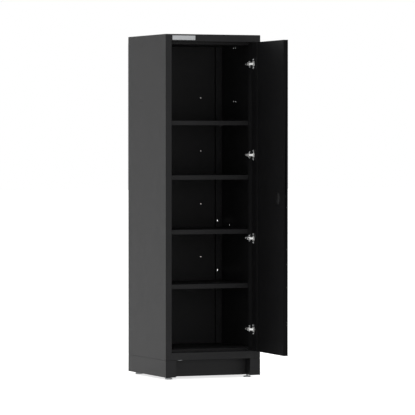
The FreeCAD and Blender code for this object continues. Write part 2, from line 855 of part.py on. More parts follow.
def shelf(index, level):
    """Sheet shelf with its four edges turned down."""
    outer = block(
        f"shelf_block_{index}",
        (f"(-{SHELF_SIDE})", SHELF_SIDE),
        (SHELF_FRONT, SHELF_BACK),
        (f"({level} - shelf_lip)", level),
    )
    hollow = block(
        f"shelf_hollow_{index}",
        (f"(shelf_sheet - {SHELF_SIDE})", f"({SHELF_SIDE} - shelf_sheet)"),
        (f"({SHELF_FRONT} + shelf_sheet)", f"({SHELF_BACK} - shelf_sheet)"),
        (f"({level} - shelf_lip - 1)", f"({level} - shelf_sheet)"),
    )
    label = f"shelf_{index}"
    return finish(cut(label, outer, [hollow]), label)


def shelf_stiffeners():
    """Hat channels welded under the shelves, across their middle."""
    middle = f"(({SHELF_FRONT} + {SHELF_BACK})/2)"
    channels = []
    for index, level in enumerate(shelf_levels(), start=1):
        top = f"({level} - shelf_sheet)"
        outer = block(
            f"stiffener_block_{index}",
            ("(-stiffener_length/2)", "(stiffener_length/2)"),
            (f"({middle} - stiffener_width/2)", f"({middle} + stiffener_width/2)"),
            (f"({top} - stiffener_depth)", top),
        )
        hollow = block(
            f"stiffener_hollow_{index}",
            ("(-stiffener_length/2 - 1)", "(stiffener_length/2 + 1)"),
            (
                f"({middle} - stiffener_width/2 + shelf_sheet)",
                f"({middle} + stiffener_width/2 - shelf_sheet)",
            ),
            (f"({top} - stiffener_depth + shelf_sheet)", f"({top} + 1)"),
        )
        channels.append(cut(f"stiffener_{index}", outer, [hollow]))
    return finish(gather("shelf_stiffeners", channels), "shelf_stiffeners")


def shelf_clips():
    """Angle clips on the columns and rear posts, one under each shelf corner."""
    front_gap = (COLUMN_BACK, f"({COLUMN_BACK} + clip_plate)")
    front_tab = (COLUMN_BACK, f"({COLUMN_BACK} + clip_tab)")
    rear_gap = (f"({POST_FRONT} - clip_plate)", POST_FRONT)
    rear_tab = (f"({POST_FRONT} - clip_tab)", POST_FRONT)
    clips = []
    for index, level in enumerate(shelf_levels(), start=1):
        bottom = f"({level} - shelf_lip)"
        for side in (-1, 1):
            column = (f"({REVEAL} + clip_side_inset)", f"({REVEAL} + clip_side_inset + clip_span)")
            slot = f"{SIDE_INNER} - slot_inset"
            post = (f"({slot} - clip_span/2)", f"({slot} + clip_span/2)")
            corners = (("front", column, front_gap, front_tab), ("rear", post, rear_gap, rear_tab))
            for place, span, upright, tab in corners:
                x = mirrored(side, *span)
                name = f"clip_{index}_{'left' if side < 0 else 'right'}_{place}"
                under = f"({bottom} - clip_plate)"
                tall = block(f"{name}_upright", x, upright, (under, f"({bottom} + clip_rise)"))
                flat = block(f"{name}_tab", x, tab, (under, bottom))
                clips.append(fuse(name, [tall, flat]))
    return finish(gather("shelf_clips", clips), "shelf_clips")


# ---------------------------------------------------------------- door


def lock_hole(name, radius, low, high):
    """A round hole about the lock's axis."""
    return rod(name, "Y", (LOCK_X, low, "lock_level"), radius, f"{high} - {low}")


def bar_way(name, sign, low, high):
    """The way of an upright lock bar through the door's end flange."""
    place = f"({LOCK_X} {sign} {BAR_OFFSET})"
    half = "(bar_width/2 + bar_clearance)"
    x = (f"({place} - {half})", f"({place} + {half})")
    return block(name, x, (f"({BAR_OUT} - bar_clearance)", f"({BAR_IN} + bar_clearance)"), (low, high))


def side_bar_way(name, low, high):
    """The way of the side bolt through an upright sheet or strip."""
    level = f"(lock_level + {BAR_OFFSET})"
    half = "(bar_width/2 + bar_clearance)"
    z = (f"({level} - {half})", f"({level} + {half})")
    return block(name, (low, high), (f"({BAR_OUT} - bar_clearance)", f"({BAR_IN} + bar_clearance)"), z)


def door_skin():
    """Outer door pan: face, side returns with lips, and end flanges."""
    lip_right = f"({DOOR_EDGE} - door_lip)"
    lip_left = f"({SKIN_END} + door_lip)"
    outline = [
        (lip_right, DOOR_IN),
        (DOOR_EDGE, DOOR_IN),
        (DOOR_EDGE, DOOR_OUT),
        (SKIN_END, DOOR_OUT),
        (SKIN_END, DOOR_IN),
        (lip_left, DOOR_IN),
        (lip_left, PANEL_IN),
        (f"({SKIN_END} + wall)", PANEL_IN),
        (f"({SKIN_END} + wall)", f"({DOOR_OUT} + wall)"),
        (f"({DOOR_EDGE} - wall)", f"({DOOR_OUT} + wall)"),
        (f"({DOOR_EDGE} - wall)", PANEL_IN),
        (lip_right, PANEL_IN),
    ]
    body = folded("door_sheet", "XY", outline, DOOR_BOTTOM, DOOR_TOP)
    end = [(SKIN_END, DOOR_OUT), (DOOR_EDGE, DOOR_OUT), (DOOR_EDGE, DOOR_IN), (SKIN_END, DOOR_IN)]
    pad(body, "XY", end, DOOR_BOTTOM, f"({DOOR_BOTTOM} + wall)")
    pad(body, "XY", end, f"({DOOR_TOP} - wall)", DOOR_TOP)
    outer, edge = number(DOOR_OUT), number(DOOR_EDGE)
    round_edges(
        body,
        "bend_radius",
        lambda middle, along: abs(along.z) > 0.99
        and abs(middle.y - outer) < 0.01
        and abs(middle.x - edge) < 0.01,
    )
    tools = [
        lock_hole("skin_lock_hole", "dish_radius", f"({DOOR_OUT} - wall)", f"({DOOR_OUT} + 2*wall)"),
        bar_way("skin_top_way", "+", f"({DOOR_TOP} - 2*wall)", f"({DOOR_TOP} + wall)"),
        bar_way("skin_bottom_way", "-", f"({DOOR_BOTTOM} - wall)", f"({DOOR_BOTTOM} + 2*wall)"),
        side_bar_way("skin_side_way", f"({SKIN_END} - wall)", f"({SKIN_END} + 2*wall)"),
    ]
    for index, level in enumerate(hinge_levels()):
        start = (CUP_X, f"({PANEL_IN} - wall)", level)
        tools.append(rod(f"lip_cup_hole_{index}", "Y", start, "cup_radius", "3*wall"))
    return finish(cut("door_skin", body, tools), "door_skin", hung=True)


def door_inner_panel():
    """Flat inner sheet, seated behind the skin's lips."""
    sheet = block(
        "inner_sheet",
        (f"({SKIN_END} + wall)", f"({DOOR_EDGE} - wall)"),
        (PANEL_OUT, PANEL_IN),
        (f"({DOOR_BOTTOM} + wall)", f"({DOOR_TOP} - wall)"),
    )
    low, high = f"({PANEL_OUT} - wall)", f"({PANEL_IN} + wall)"
    tools = [lock_hole("inner_lock_hole", "panel_hole_radius", low, high)]
    for index, level in enumerate(hinge_levels()):
        start = (CUP_X, low, level)
        tools.append(rod(f"inner_cup_hole_{index}", "Y", start, "cup_radius", "3*wall"))
    return finish(cut("door_inner_panel", sheet, tools), "door_inner_panel", hung=True)


def door_hinge_strip():
    """Reinforcing strip down the hinge side, bored for the hinge cups."""
    step = f"({DOOR_EDGE} - door_lip)"
    z = (f"({DOOR_BOTTOM} + hinge_strip_inset)", f"({DOOR_TOP} - hinge_strip_inset)")
    over_lip = block("strip_over_lip", (step, f"({DOOR_EDGE} - wall)"), (DOOR_IN, STRIP_IN), z)
    wide = (f"({DOOR_EDGE} - hinge_strip_width)", step)
    over_panel = block("strip_over_panel", wide, (PANEL_IN, STRIP_IN), z)
    tools = []
    for index, level in enumerate(hinge_levels()):
        start = (CUP_X, f"({PANEL_IN} - wall)", level)
        length = "(2*wall + hinge_strip_rise + 2)"
        tools.append(rod(f"strip_cup_hole_{index}", "Y", start, "cup_radius", length))
    strip = cut("door_hinge_strip", fuse("strip_form", [over_lip, over_panel]), tools)
    return finish(strip, "door_hinge_strip", hung=True)


def door_spine():
    """Hat channel that joins the door's two sheets along its middle."""
    middle = f"({DOOR_EDGE} - spine_place)"
    z = (f"({DOOR_BOTTOM} + spine_inset)", f"({DOOR_TOP} - spine_inset)")
    outer = block(
        "spine_block",
        (f"({middle} - spine_width/2)", f"({middle} + spine_width/2)"),
        (f"({DOOR_OUT} + wall)", PANEL_OUT),
        z,
    )
    hollow = block(
        "spine_hollow",
        (f"({middle} - spine_width/2 + wall)", f"({middle} + spine_width/2 - wall)"),
        (f"({DOOR_OUT} + 2*wall)", f"({PANEL_OUT} + 1)"),
        (f"({z[0]} - 1)", f"({z[1]} + 1)"),
    )
    return finish(cut("door_spine", outer, [hollow]), "door_spine", hung=True)


def door_edge_strip():
    """Black edge strip down the door's free side, grooved along its outer face."""
    middle = f"(({DOOR_OUT} + {DOOR_IN})/2)"
    low, high = f"({middle} - edge_groove_width/2)", f"({middle} + edge_groove_width/2)"
    depth = f"({DOOR_FREE} + edge_groove)"
    outline = [
        (SKIN_END, DOOR_OUT),
        (SKIN_END, DOOR_IN),
        (f"({DOOR_FREE} + bend_radius/2)", DOOR_IN),
        (DOOR_FREE, f"({DOOR_IN} - bend_radius/2)"),
        (DOOR_FREE, high),
        (depth, high),
        (depth, low),
        (DOOR_FREE, low),
        (DOOR_FREE, f"({DOOR_OUT} + bend_radius/2)"),
        (f"({DOOR_FREE} + bend_radius/2)", DOOR_OUT),
    ]
    body = folded("edge_strip_form", "XY", outline, DOOR_BOTTOM, DOOR_TOP)
    way = side_bar_way("strip_side_way", f"({DOOR_FREE} - 1)", f"({SKIN_END} + 1)")
    return finish(cut("door_edge_strip", body, [way]), "door_edge_strip", hung=True)


# ---------------------------------------------------------------- hinges


def hinge_plates():
    """Mounting plates on the right reveal."""
    middle = f"({FRONT} + hinge_setback)"
    x = (f"({REVEAL} - hinge_plate_sheet)", REVEAL)
    plates = []
    for index, level in enumerate(hinge_levels()):
        tall = block(
            f"plate_tall_{index}",
            x,
            (f"({middle} - hinge_plate_waist/2)", f"({middle} + hinge_plate_waist/2)"),
            (f"({level} - hinge_plate_height/2)", f"({level} + hinge_plate_height/2)"),
        )
        wide = block(
            f"plate_wide_{index}",
            x,
            (f"({middle} - hinge_plate_width/2)", f"({middle} + hinge_plate_width/2)"),
            (f"({level} - arm_width/2 - 2)", f"({level} + arm_width/2 + 2)"),
        )
        plates.append(fuse(f"plate_{index}", [tall, wide]))
    return finish(gather("hinge_plates", plates), "hinge_plates")


def hinge_plate_screws():
    """Pan-head screws that hold the mounting plates."""
    middle = f"({FRONT} + hinge_setback)"
    start = f"({REVEAL} - hinge_plate_sheet - screw_head_height)"
    screws = []
    for index, level in enumerate(hinge_levels()):
        for sign in ("-", "+"):
            place = (start, middle, f"({level} {sign} hinge_screw_pitch/2)")
            name = f"plate_screw_{index}_{'low' if sign == '-' else 'high'}"
            screws.append(rod(name, "X", place, "screw_head_radius", "screw_head_height"))
    return finish(gather("hinge_plate_screws", screws), "hinge_plate_screws")


ARM_BACK = f"({REVEAL} - hinge_plate_sheet)"
ARM_FACE = f"({ARM_BACK} - arm_thickness)"
ARM_PIVOT_X = f"({REVEAL} - arm_pivot_inset)"
ARM_PIVOT_Y = f"({FRONT} + arm_pivot_setback)"
NOSE_HALF = "(link_sheet/2 + link_gap + 2)"


def hinge_arms():
    """Arms on the mounting plates: a forked nose holds the pin of the inner link."""
    arms = []
    for index, level in enumerate(hinge_levels()):
        channel_block = block(
            f"arm_channel_{index}",
            (ARM_FACE, ARM_BACK),
            (f"({ARM_PIVOT_Y} + arm_fork_depth + 0.5)", f"({FRONT} + arm_rear)"),
            (f"({level} - arm_width/2)", f"({level} + arm_width/2)"),
        )
        neck = block(
            f"arm_neck_{index}",
            (f"({ARM_PIVOT_X} - arm_nose_radius)", f"({ARM_PIVOT_X} + arm_nose_radius)"),
            (ARM_PIVOT_Y, f"({ARM_PIVOT_Y} + arm_fork_depth + arm_nose_radius)"),
            (f"({level} - {NOSE_HALF})", f"({level} + {NOSE_HALF})"),
        )
        start = (ARM_PIVOT_X, ARM_PIVOT_Y, f"({level} - {NOSE_HALF})")
        nose = rod(f"arm_nose_{index}", "Z", start, "arm_nose_radius", f"2*{NOSE_HALF}")
        fork = block(
            f"arm_fork_{index}",
            (f"({ARM_FACE} - 8)", f"({ARM_BACK} + 1)"),
            (f"({ARM_PIVOT_Y} - arm_fork_depth)", f"({ARM_PIVOT_Y} + arm_fork_depth)"),
            (f"({level} - link_sheet/2 - link_gap)", f"({level} + link_sheet/2 + link_gap)"),
        )
        body = cut(f"arm_body_{index}", fuse(f"arm_form_{index}", [channel_block, neck, nose]), [fork])
        pin = rod(f"arm_pin_{index}", "Z", start, "pin_radius", f"2*{NOSE_HALF}")
        arms.append(fuse(f"arm_{index}", [body, pin]))
    return finish(gather("hinge_arms", arms), "hinge_arms")


def hinge_cups():
    """Cups let into the door, with their fixing flanges and the pins of the outer links."""
    cups = []
    floor_level = f"({STRIP_IN} - cup_depth)"
    rim_radius = "cup_radius + cup_flange_rim"
    for index, level in enumerate(hinge_levels()):
        shell = rod(f"cup_shell_{index}", "Y", (CUP_X, floor_level, level), "cup_radius", "cup_depth")
        rim = rod(f"cup_rim_{index}", "Y", (CUP_X, STRIP_IN, level), rim_radius, "cup_flange_sheet")
        flange = block(
            f"cup_flange_{index}",
            (f"({CUP_X} - cup_flange_width/2)", f"({CUP_X} + cup_flange_width/2)"),
            (STRIP_IN, f"({STRIP_IN} + cup_flange_sheet)"),
            (f"({level} - cup_flange_height/2)", f"({level} + cup_flange_height/2)"),
        )
        hollow = rod(
            f"cup_hollow_{index}",
            "Y",
            (CUP_X, f"({floor_level} + cup_wall)", level),
            "cup_radius - cup_wall",
            "cup_depth + cup_flange_sheet",
        )
        notch = block(
            f"cup_notch_{index}",
            (CUP_X, f"({CUP_X} + 2*cup_radius)"),
            (STRIP_IN, f"({STRIP_IN} + 2*cup_flange_sheet)"),
            (f"({level} - {NOSE_HALF} - 4)", f"({level} + {NOSE_HALF} + 4)"),
        )
        form = fuse(f"cup_form_{index}", [shell, rim, flange])
        body = cut(f"cup_body_{index}", form, [hollow, notch])
        start = (CUP_X, f"({STRIP_IN} - cup_pivot_sink)", f"({level} - cup_radius + 0.5)")
        pin = rod(f"cup_pin_{index}", "Z", start, "pin_radius", "2*cup_radius - 1")
        cups.append(fuse(f"cup_{index}", [body, pin]))
    return finish(gather("hinge_cups", cups), "hinge_cups", hung=True)


def cup_screws():
    """Countersunk-washer screws that hold the cup flanges."""
    screws = []
    for index, level in enumerate(hinge_levels()):
        for sign in ("-", "+"):
            start = (CUP_X, f"({STRIP_IN} + cup_flange_sheet)", f"({level} {sign} cup_screw_pitch/2)")
            name = f"cup_screw_{index}_{'low' if sign == '-' else 'high'}"
            screws.append(rod(name, "Y", start, "screw_head_radius", "screw_head_height"))
    return finish(gather("cup_screws", screws), "cup_screws", hung=True)


def swung(x, y):
    """A point of the shut door, measured from the hinge line, where the open door has it."""
    turn = math.radians(number("open_angle"))
    centre_x, centre_y = number(HINGE_X), number(HINGE_Y)
    return (
        centre_x + x * math.cos(turn) - y * math.sin(turn),
        centre_y + x * math.sin(turn) + y * math.cos(turn),
    )


def knee(start, end, first, second):
    """Where the links from the two pivots meet, on the side of the door's opening."""
    span = math.hypot(end[0] - start[0], end[1] - start[1])
    along_x, along_y = (end[0] - start[0]) / span, (end[1] - start[1]) / span
    reach = (span**2 + first**2 - second**2) / (2 * span)
    rise = math.sqrt(first**2 - reach**2)
    return start[0] + reach * along_x + rise * along_y, start[1] + reach * along_y - rise * along_x


def strap(start, end, low, high, pin_hole):
    """A flat link between two points, round at both ends and bored at its start."""
    radius = number("link_radius")
    height = high - low
    span = Vector(end[0] - start[0], end[1] - start[1], 0)
    bar = Part.makeBox(span.Length, 2 * radius, height, Vector(0, -radius, 0))
    bar.rotate(Vector(0, 0, 0), Vector(0, 0, 1), math.degrees(math.atan2(span.y, span.x)))
    bar.translate(Vector(start[0], start[1], low))
    ends = [Part.makeCylinder(radius, height, Vector(x, y, low)) for x, y in (start, end)]
    hole = Part.makeCylinder(pin_hole, height, Vector(start[0], start[1], low))
    return bar.fuse(ends).removeSplitter().cut(hole)


def hinge_links():
    """Inner links on the arms' pins and pairs of outer links on the cups' pins."""
    arm_pivot = number(ARM_PIVOT_X), number(ARM_PIVOT_Y)
    cup_pivot = swung(number(CUP_X), number(f"({STRIP_IN} - cup_pivot_sink)"))
    lengths = number("inner_link_length"), number("outer_link_length")
    meeting = knee(arm_pivot, cup_pivot, *lengths)
    hole = number("pin_radius + pin_clearance")
    half, gap = number("link_sheet") / 2, number("link_gap")
    inner, outer = [], []
    for text in hinge_levels():
        level = number(text)
        inner.append(strap(arm_pivot, meeting, level - half, level + half, hole))
        for low in (level + half + gap, level - half - gap - 2 * half):
            outer.append(strap(cup_pivot, meeting, low, low + 2 * half, hole))
    for label, straps in (("hinge_inner_links", inner), ("hinge_outer_links", outer)):
        links = document.addObject("Part::Feature", label)
        links.Shape = Part.makeCompound(straps)
        finish(links, label)


# ---------------------------------------------------------------- lock


def lock_dish():
    """Round recess in the door's face, flanged outside, that holds the turn handle."""
    depth = f"({DOOR_OUT} + dish_depth)"
    body = turned(
        "lock_dish",
        [
            ("spindle_radius + spindle_clearance", depth),
            ("dish_radius - dish_wall - 3", depth),
            ("dish_radius - dish_wall", f"({DOOR_OUT} + 2)"),
            ("dish_radius - dish_wall", f"({DOOR_OUT} - dish_flange)"),
            ("dish_flange_radius - 1", f"({DOOR_OUT} - dish_flange)"),
            ("dish_flange_radius", DOOR_OUT),
            ("dish_radius", DOOR_OUT),
            ("dish_radius", f"({DOOR_OUT} + 3)"),
            ("dish_radius - 3", DISH_IN),
            ("spindle_radius + spindle_clearance", DISH_IN),
        ],
    )
    hang(body, LOCK_X, "lock_level")
    return finish(body, "lock_dish")


def turn_handle():
    """Finger bar with a round hub, sunk in the dish, bored for the key plug."""
    front = f"({DOOR_OUT} + handle_sink)"
    back = f"({front} + handle_thickness)"
    reach = "(handle_length/2 - handle_width/2)"
    bar = block(
        "handle_bar",
        (f"({LOCK_X} - handle_width/2)", f"({LOCK_X} + handle_width/2)"),
        (front, back),
        (f"(lock_level - {reach})", f"(lock_level + {reach})"),
    )
    ends = []
    for sign, end in (("-", "low"), ("+", "high")):
        level = f"(lock_level {sign} {reach})"
        name = f"handle_end_{end}"
        ends.append(rod(name, "Y", (LOCK_X, front, level), "handle_width/2", "handle_thickness"))
    hub_length = f"({DOOR_OUT} + dish_depth - {front} - hub_gap)"
    hub = rod("handle_hub", "Y", (LOCK_X, front, "lock_level"), "hub_radius", hub_length)
    radius = "plug_radius + plug_clearance"
    bore = rod("handle_bore", "Y", (LOCK_X, f"({front} - 1)", "lock_level"), radius, "plug_length + 1")
    shank = f"({BAR_IN} - {back})"
    spindle = rod("handle_spindle", "Y", (LOCK_X, back, "lock_level"), "spindle_radius", shank)
    handle = cut("turn_handle", fuse("handle_form", [bar, *ends, hub, spindle]), [bore])
    return finish(handle, "turn_handle", hung=True)


def key_plug():
    """Key plug in the handle's hub."""
    front = f"({DOOR_OUT} + handle_sink)"
    plug = rod("plug_form", "Y", (LOCK_X, front, "lock_level"), "plug_radius", "plug_length - 0.5")
    keyway = block(
        "plug_keyway",
        (f"({LOCK_X} - keyway_width/2)", f"({LOCK_X} + keyway_width/2)"),
        (f"({front} - 1)", f"({front} + keyway_depth)"),
        ("(lock_level - keyway_length/2)", "(lock_level + keyway_length/2)"),
    )
    return finish(cut("key_plug", plug, [keyway]), "key_plug", hung=True)


def lock_pinion():
    """Pinion on the handle's spindle, between the two upright bars and under the side bolt."""
    disc = rod("pinion_disc", "Y", (LOCK_X, BAR_OUT, "lock_level"), "pinion_radius", "pinion_thickness")
    start = (LOCK_X, f"({BAR_OUT} - 1)", "lock_level")
    bore = rod("pinion_bore", "Y", start, "spindle_radius", "pinion_thickness + 2")
    return finish(cut("lock_pinion", disc, [bore]), "lock_pinion", hung=True)


def lock_bars():
    """The two upright bars and the side bolt, drawn back, with their ends inside the door."""
    y = (BAR_OUT, BAR_IN)
    upper_x = f"({LOCK_X} + {BAR_OFFSET})"
    lower_x = f"({LOCK_X} - {BAR_OFFSET})"
    half = "bar_width/2"
    upper = block(
        "bar_upper",
        (f"({upper_x} - {half})", f"({upper_x} + {half})"),
        y,
        ("(lock_level - bar_overlap)", f"({DOOR_TOP} - wall - bar_end_gap)"),
    )
    lower = block(
        "bar_lower",
        (f"({lower_x} - {half})", f"({lower_x} + {half})"),
        y,
        (f"({DOOR_BOTTOM} + wall + bar_end_gap)", "(lock_level + bar_overlap)"),
    )
    level = f"(lock_level + {BAR_OFFSET})"
    side = block(
        "bar_side",
        (f"({DOOR_FREE} + bar_end_gap)", f"({LOCK_X} + bar_overlap)"),
        y,
        (f"({level} - {half})", f"({level} + {half})"),
    )
    for label, bar in (("rod_upper", upper), ("rod_lower", lower), ("side_bolt", side)):
        finish(gather(label, [bar]), label, hung=True)


def bar_guides():
    """Moulded guides on the inner sheet that hold the bars in line."""
    half = "(bar_width/2 + bar_clearance)"
    y = (f"({BAR_OUT} - bar_clearance - 1)", PANEL_OUT)
    way_y = (f"({BAR_OUT} - bar_clearance)", f"({BAR_IN} + bar_clearance)")
    guides = []
    upright = (
        ("top", "+", f"({DOOR_TOP} - guide_inset)"),
        ("upper", "+", "(lock_level + 2*guide_inset)"),
        ("lower", "-", "(lock_level - 2*guide_inset)"),
        ("bottom", "-", f"({DOOR_BOTTOM} + guide_inset)"),
    )
    for name, sign, level in upright:
        x = f"({LOCK_X} {sign} {BAR_OFFSET})"
        z = (f"({level} - guide_height/2)", f"({level} + guide_height/2)")
        form = block(f"guide_{name}_form", (f"({x} - guide_width/2)", f"({x} + guide_width/2)"), y, z)
        way_z = (f"({z[0]} - 1)", f"({z[1]} + 1)")
        way = block(f"guide_{name}_way", (f"({x} - {half})", f"({x} + {half})"), way_y, way_z)
        guides.append(cut(f"guide_{name}", form, [way]))
    level = f"(lock_level + {BAR_OFFSET})"
    x = f"({SKIN_END} + guide_inset)"
    span = (f"({x} - guide_height/2)", f"({x} + guide_height/2)")
    form = block("guide_side_form", span, y, (f"({level} - guide_width/2)", f"({level} + guide_width/2)"))
    way_x = (f"({span[0]} - 1)", f"({span[1]} + 1)")
    way = block("guide_side_way", way_x, way_y, (f"({level} - {half})", f"({level} + {half})"))
    guides.append(cut("guide_side", form, [way]))
    return finish(gather("bar_guides", guides), "bar_guides", hung=True)


def lock_cover():
    """Domed cover over the lock on the door's inner face."""
    base = PANEL_IN
    body = turned(
        "lock_cover",
        [
            ("0", f"({base} + cover_rise - cover_wall)"),
            ("(cover_radius*0.55)", f"({base} + cover_rise - cover_wall - 1)"),
            ("(cover_radius*0.85)", f"({base} + cover_rise*0.45 - cover_wall/2)"),
            ("(cover_radius - cover_wall)", base),
            ("cover_radius", base),
            ("(cover_radius*0.87)", f"({base} + cover_rise*0.55)"),
            ("(cover_radius*0.57)", f"({base} + cover_rise - 1)"),
            ("0", f"({base} + cover_rise)"),
        ],
    )
    hang(body, LOCK_X, "lock_level")
    return finish(body, "lock_cover")


def strike_plate():
    """Strike on the left reveal, slotted for the side bolt."""
    middle = f"({HINGE_Y} + ({BAR_OUT} + {BAR_IN})/2)"
    level = f"(lock_level + {BAR_OFFSET})"
    x = (f"(-{REVEAL})", f"(strike_sheet - {REVEAL})")
    plate = block(
        "strike_form",
        x,
        (f"({middle} - strike_width/2 + 4)", f"({middle} + strike_width/2 + 4)"),
        (f"({level} - strike_height/2)", f"({level} + strike_height/2)"),
    )
    slot = bolt_slot("strike_slot", f"({x[0]} - 1)", f"({x[1]} + 1)")
    return finish(cut("strike_plate", plate, [slot]), "strike_plate")


def door_buffers():
    """Rubber buffers on the left reveal that the shut door comes to rest on."""
    shut = f"({HINGE_Y} + {DOOR_IN} + buffer_gap)"
    x = (f"(-{REVEAL})", f"(buffer_reach - {REVEAL})")
    y = (shut, f"({shut} + buffer_size)")
    buffers = []
    for name, level in (
        ("low", f"({DOOR_BOTTOM} + buffer_inset)"),
        ("high", f"({DOOR_TOP} - buffer_inset)"),
    ):
        z = (f"({level} - buffer_size)", f"({level} + buffer_size)")
        buffers.append(block(f"buffer_{name}", x, y, z))
    return finish(gather("door_buffers", buffers), "door_buffers")


# ---------------------------------------------------------------- document


def build():
    top_cap()
    roof_pan()
    for side, word in ((-1, "left"), (1, "right")):
        side_panel(side, f"side_panel_{word}")
        rear_post(side, f"rear_post_{word}")
        plinth_side(side, f"plinth_{word}")
    back_panel()
    back_rivets()
    bottom_rail()
    floor_pan()
    name_plate()
    kick_panel()
    kick_clip()
    plinth_rear()
    foot_brackets()
    foot_nuts()
    for name, x, y in foot_places():
        foot(name, x, y)
    for index, level in enumerate(shelf_levels(), start=1):
        shelf(index, level)
    shelf_stiffeners()
    shelf_clips()
    door_skin()
    door_inner_panel()
    door_hinge_strip()
    door_spine()
    door_edge_strip()
    hinge_plates()
    hinge_plate_screws()
    hinge_arms()
    hinge_cups()
    cup_screws()
    hinge_links()
    lock_dish()
    turn_handle()
    key_plug()
    lock_pinion()
    lock_bars()
    bar_guides()
    lock_cover()
    strike_plate()
    door_buffers()


def check():
    """Stops with the names of the objects that failed, before anything is written."""
    failed = [item.Label for item in document.Objects if {"Invalid", "Error"} & set(item.State)]
    if failed:
        raise RuntimeError(f"objects that failed: {failed}")
    broken = [node.Label for node in nodes if node.Shape.isNull() or not node.Shape.isValid()]
    if broken:
        raise RuntimeError(f"shapes that are not valid: {broken}")


def export():
    os.makedirs("parts", exist_ok=True)
    for node in nodes:
        node.Shape.exportStep(f"parts/{node.Label}.step")


fill_sheet()
sizes_reader = document.addObject("Part::Box", "SizesReader")
build()
document.removeObject("SizesReader")
document.recompute()
check()
export()
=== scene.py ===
"""Tall steel side locker in black satin powder coat, its door standing open."""

import json
import math

import bmesh
import bpy
from mathutils import Matrix, Vector


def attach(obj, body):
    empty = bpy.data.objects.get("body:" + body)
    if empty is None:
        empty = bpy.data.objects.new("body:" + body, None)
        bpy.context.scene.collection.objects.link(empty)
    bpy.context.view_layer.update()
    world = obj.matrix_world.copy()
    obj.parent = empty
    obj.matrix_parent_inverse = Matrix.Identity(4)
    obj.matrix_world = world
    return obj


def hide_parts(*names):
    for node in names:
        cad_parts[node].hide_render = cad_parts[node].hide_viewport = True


bl_info = {
    "name": "Side Locker",
    "version": (1, 0, 0),
    "blender": (4, 5, 0),
    "location": "View3D > Sidebar > Locker",
    "description": "Dresses the packed frame of a tall steel side locker",
    "category": "Object",
}

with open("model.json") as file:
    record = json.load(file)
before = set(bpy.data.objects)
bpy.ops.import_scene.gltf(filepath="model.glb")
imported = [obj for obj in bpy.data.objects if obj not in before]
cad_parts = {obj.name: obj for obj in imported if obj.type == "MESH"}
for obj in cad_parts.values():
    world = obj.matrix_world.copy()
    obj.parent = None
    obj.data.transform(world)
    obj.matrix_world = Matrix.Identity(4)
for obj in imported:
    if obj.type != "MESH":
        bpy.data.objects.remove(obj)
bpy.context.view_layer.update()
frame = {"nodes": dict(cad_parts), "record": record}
JOINTS = {joint["name"]: joint for joint in frame["record"]["behaviour"]["joints"]}
SLOTS = {part["node"]: part["material_slot"] for part in frame["record"]["subparts"]}
MM = 0.001
LEFT = Vector((-1, 0, 0))
RIGHT = Vector((1, 0, 0))
FRONT = Vector((0, -1, 0))
BACK = Vector((0, 1, 0))
UP = Vector((0, 0, 1))
WORLD = Matrix.Identity(4)
WHITE = (1, 1, 1, 1)

# Repeats within a node are further apart than this, in metres.
GROUP_GAP = 0.1
# Points closer than this are one, in millimetres.
WELD = 0.0001
# An edge that turns by more than this is sharp, in degrees.
SHARP = 35
# The key plug's radius, and its play in the handle, in millimetres.
PLUG_RADIUS = 5.95
PLUG_PLAY = 0.25

# The door's own axes: X from the free edge to the hinge line, Z up. Its inside faces BACK.
REST_ANGLE = math.radians(87)
HINGE_LINE = Vector((*JOINTS["door_swing"]["pos_m"][:2], 0))
DOOR = Matrix.Translation(HINGE_LINE) @ Matrix.Rotation(REST_ANGLE, 4, "Z")


# ---------------------------------------------------------------- places read from the frame


def extent(node, axes=WORLD, level=None):
    """The corners of a node in the given axes, and only near a level if one is given."""
    inverse = axes.inverted()
    points = [inverse @ vertex.co for vertex in frame["nodes"][node].data.vertices]
    if level is not None:
        points = [point for point in points if abs(point.z - level) < GROUP_GAP]
    low = Vector([min(point[axis] for point in points) for axis in range(3)])
    high = Vector([max(point[axis] for point in points) for axis in range(3)])
    return low, high


def middle(node, axes):
    """The centre of a node's box in the given axes."""
    low, high = extent(node, axes)
    return (low + high) / 2


def levels(node):
    """The heights of a node's separate groups, lowest first."""
    heights = sorted(vertex.co.z for vertex in frame["nodes"][node].data.vertices)
    groups = [[heights[0]]]
    for height in heights[1:]:
        if height - groups[-1][-1] > GROUP_GAP:
            groups.append([])
        groups[-1].append(height)
    return [(group[0] + group[-1]) / 2 for group in groups]


def facing(point, outward):
    """A place whose Z is the outward direction and whose Y is upright."""
    across = UP.cross(outward)
    turn = Matrix((across, outward.cross(across), outward)).transposed().to_4x4()
    return Matrix.Translation(point) @ turn


# ---------------------------------------------------------------- colours and materials


def linear(code):
    """An sRGB hex colour as linear RGBA, by the sRGB curve."""
    channels = [int(code[place : place + 2], 16) / 255 for place in (1, 3, 5)]
    return (*(c / 12.92 if c <= 0.04045 else ((c + 0.055) / 1.055) ** 2.4 for c in channels), 1)


def add(tree, kind, inputs=None, **settings):
    """Adds a shader node: its settings, and for each input a value or the socket that feeds it."""
    item = tree.nodes.new(f"ShaderNode{kind}")
    for name, value in settings.items():
        setattr(item, name, value)
    for name, value in (inputs or {}).items():
        if isinstance(value, bpy.types.NodeSocket):
            tree.links.new(value, item.inputs[name])
        else:
            item.inputs[name].default_value = value
    return item


def new_material(name):
    """An empty material, its node tree and the object's own coordinates in metres."""
    material = bpy.data.materials.new(name)
    material.use_nodes = True
    tree = material.node_tree
    tree.nodes.clear()
    return material, tree, add(tree, "TexCoord").outputs["Object"]


def grain(tree, place, size, detail=3.0, roughness=0.5):
    """Noise whose blotches are about the given size in metres."""
    inputs = {"Vector": place, "Scale": 1 / size, "Detail": detail, "Roughness": roughness}
    return add(tree, "TexNoise", inputs).outputs["Fac"]


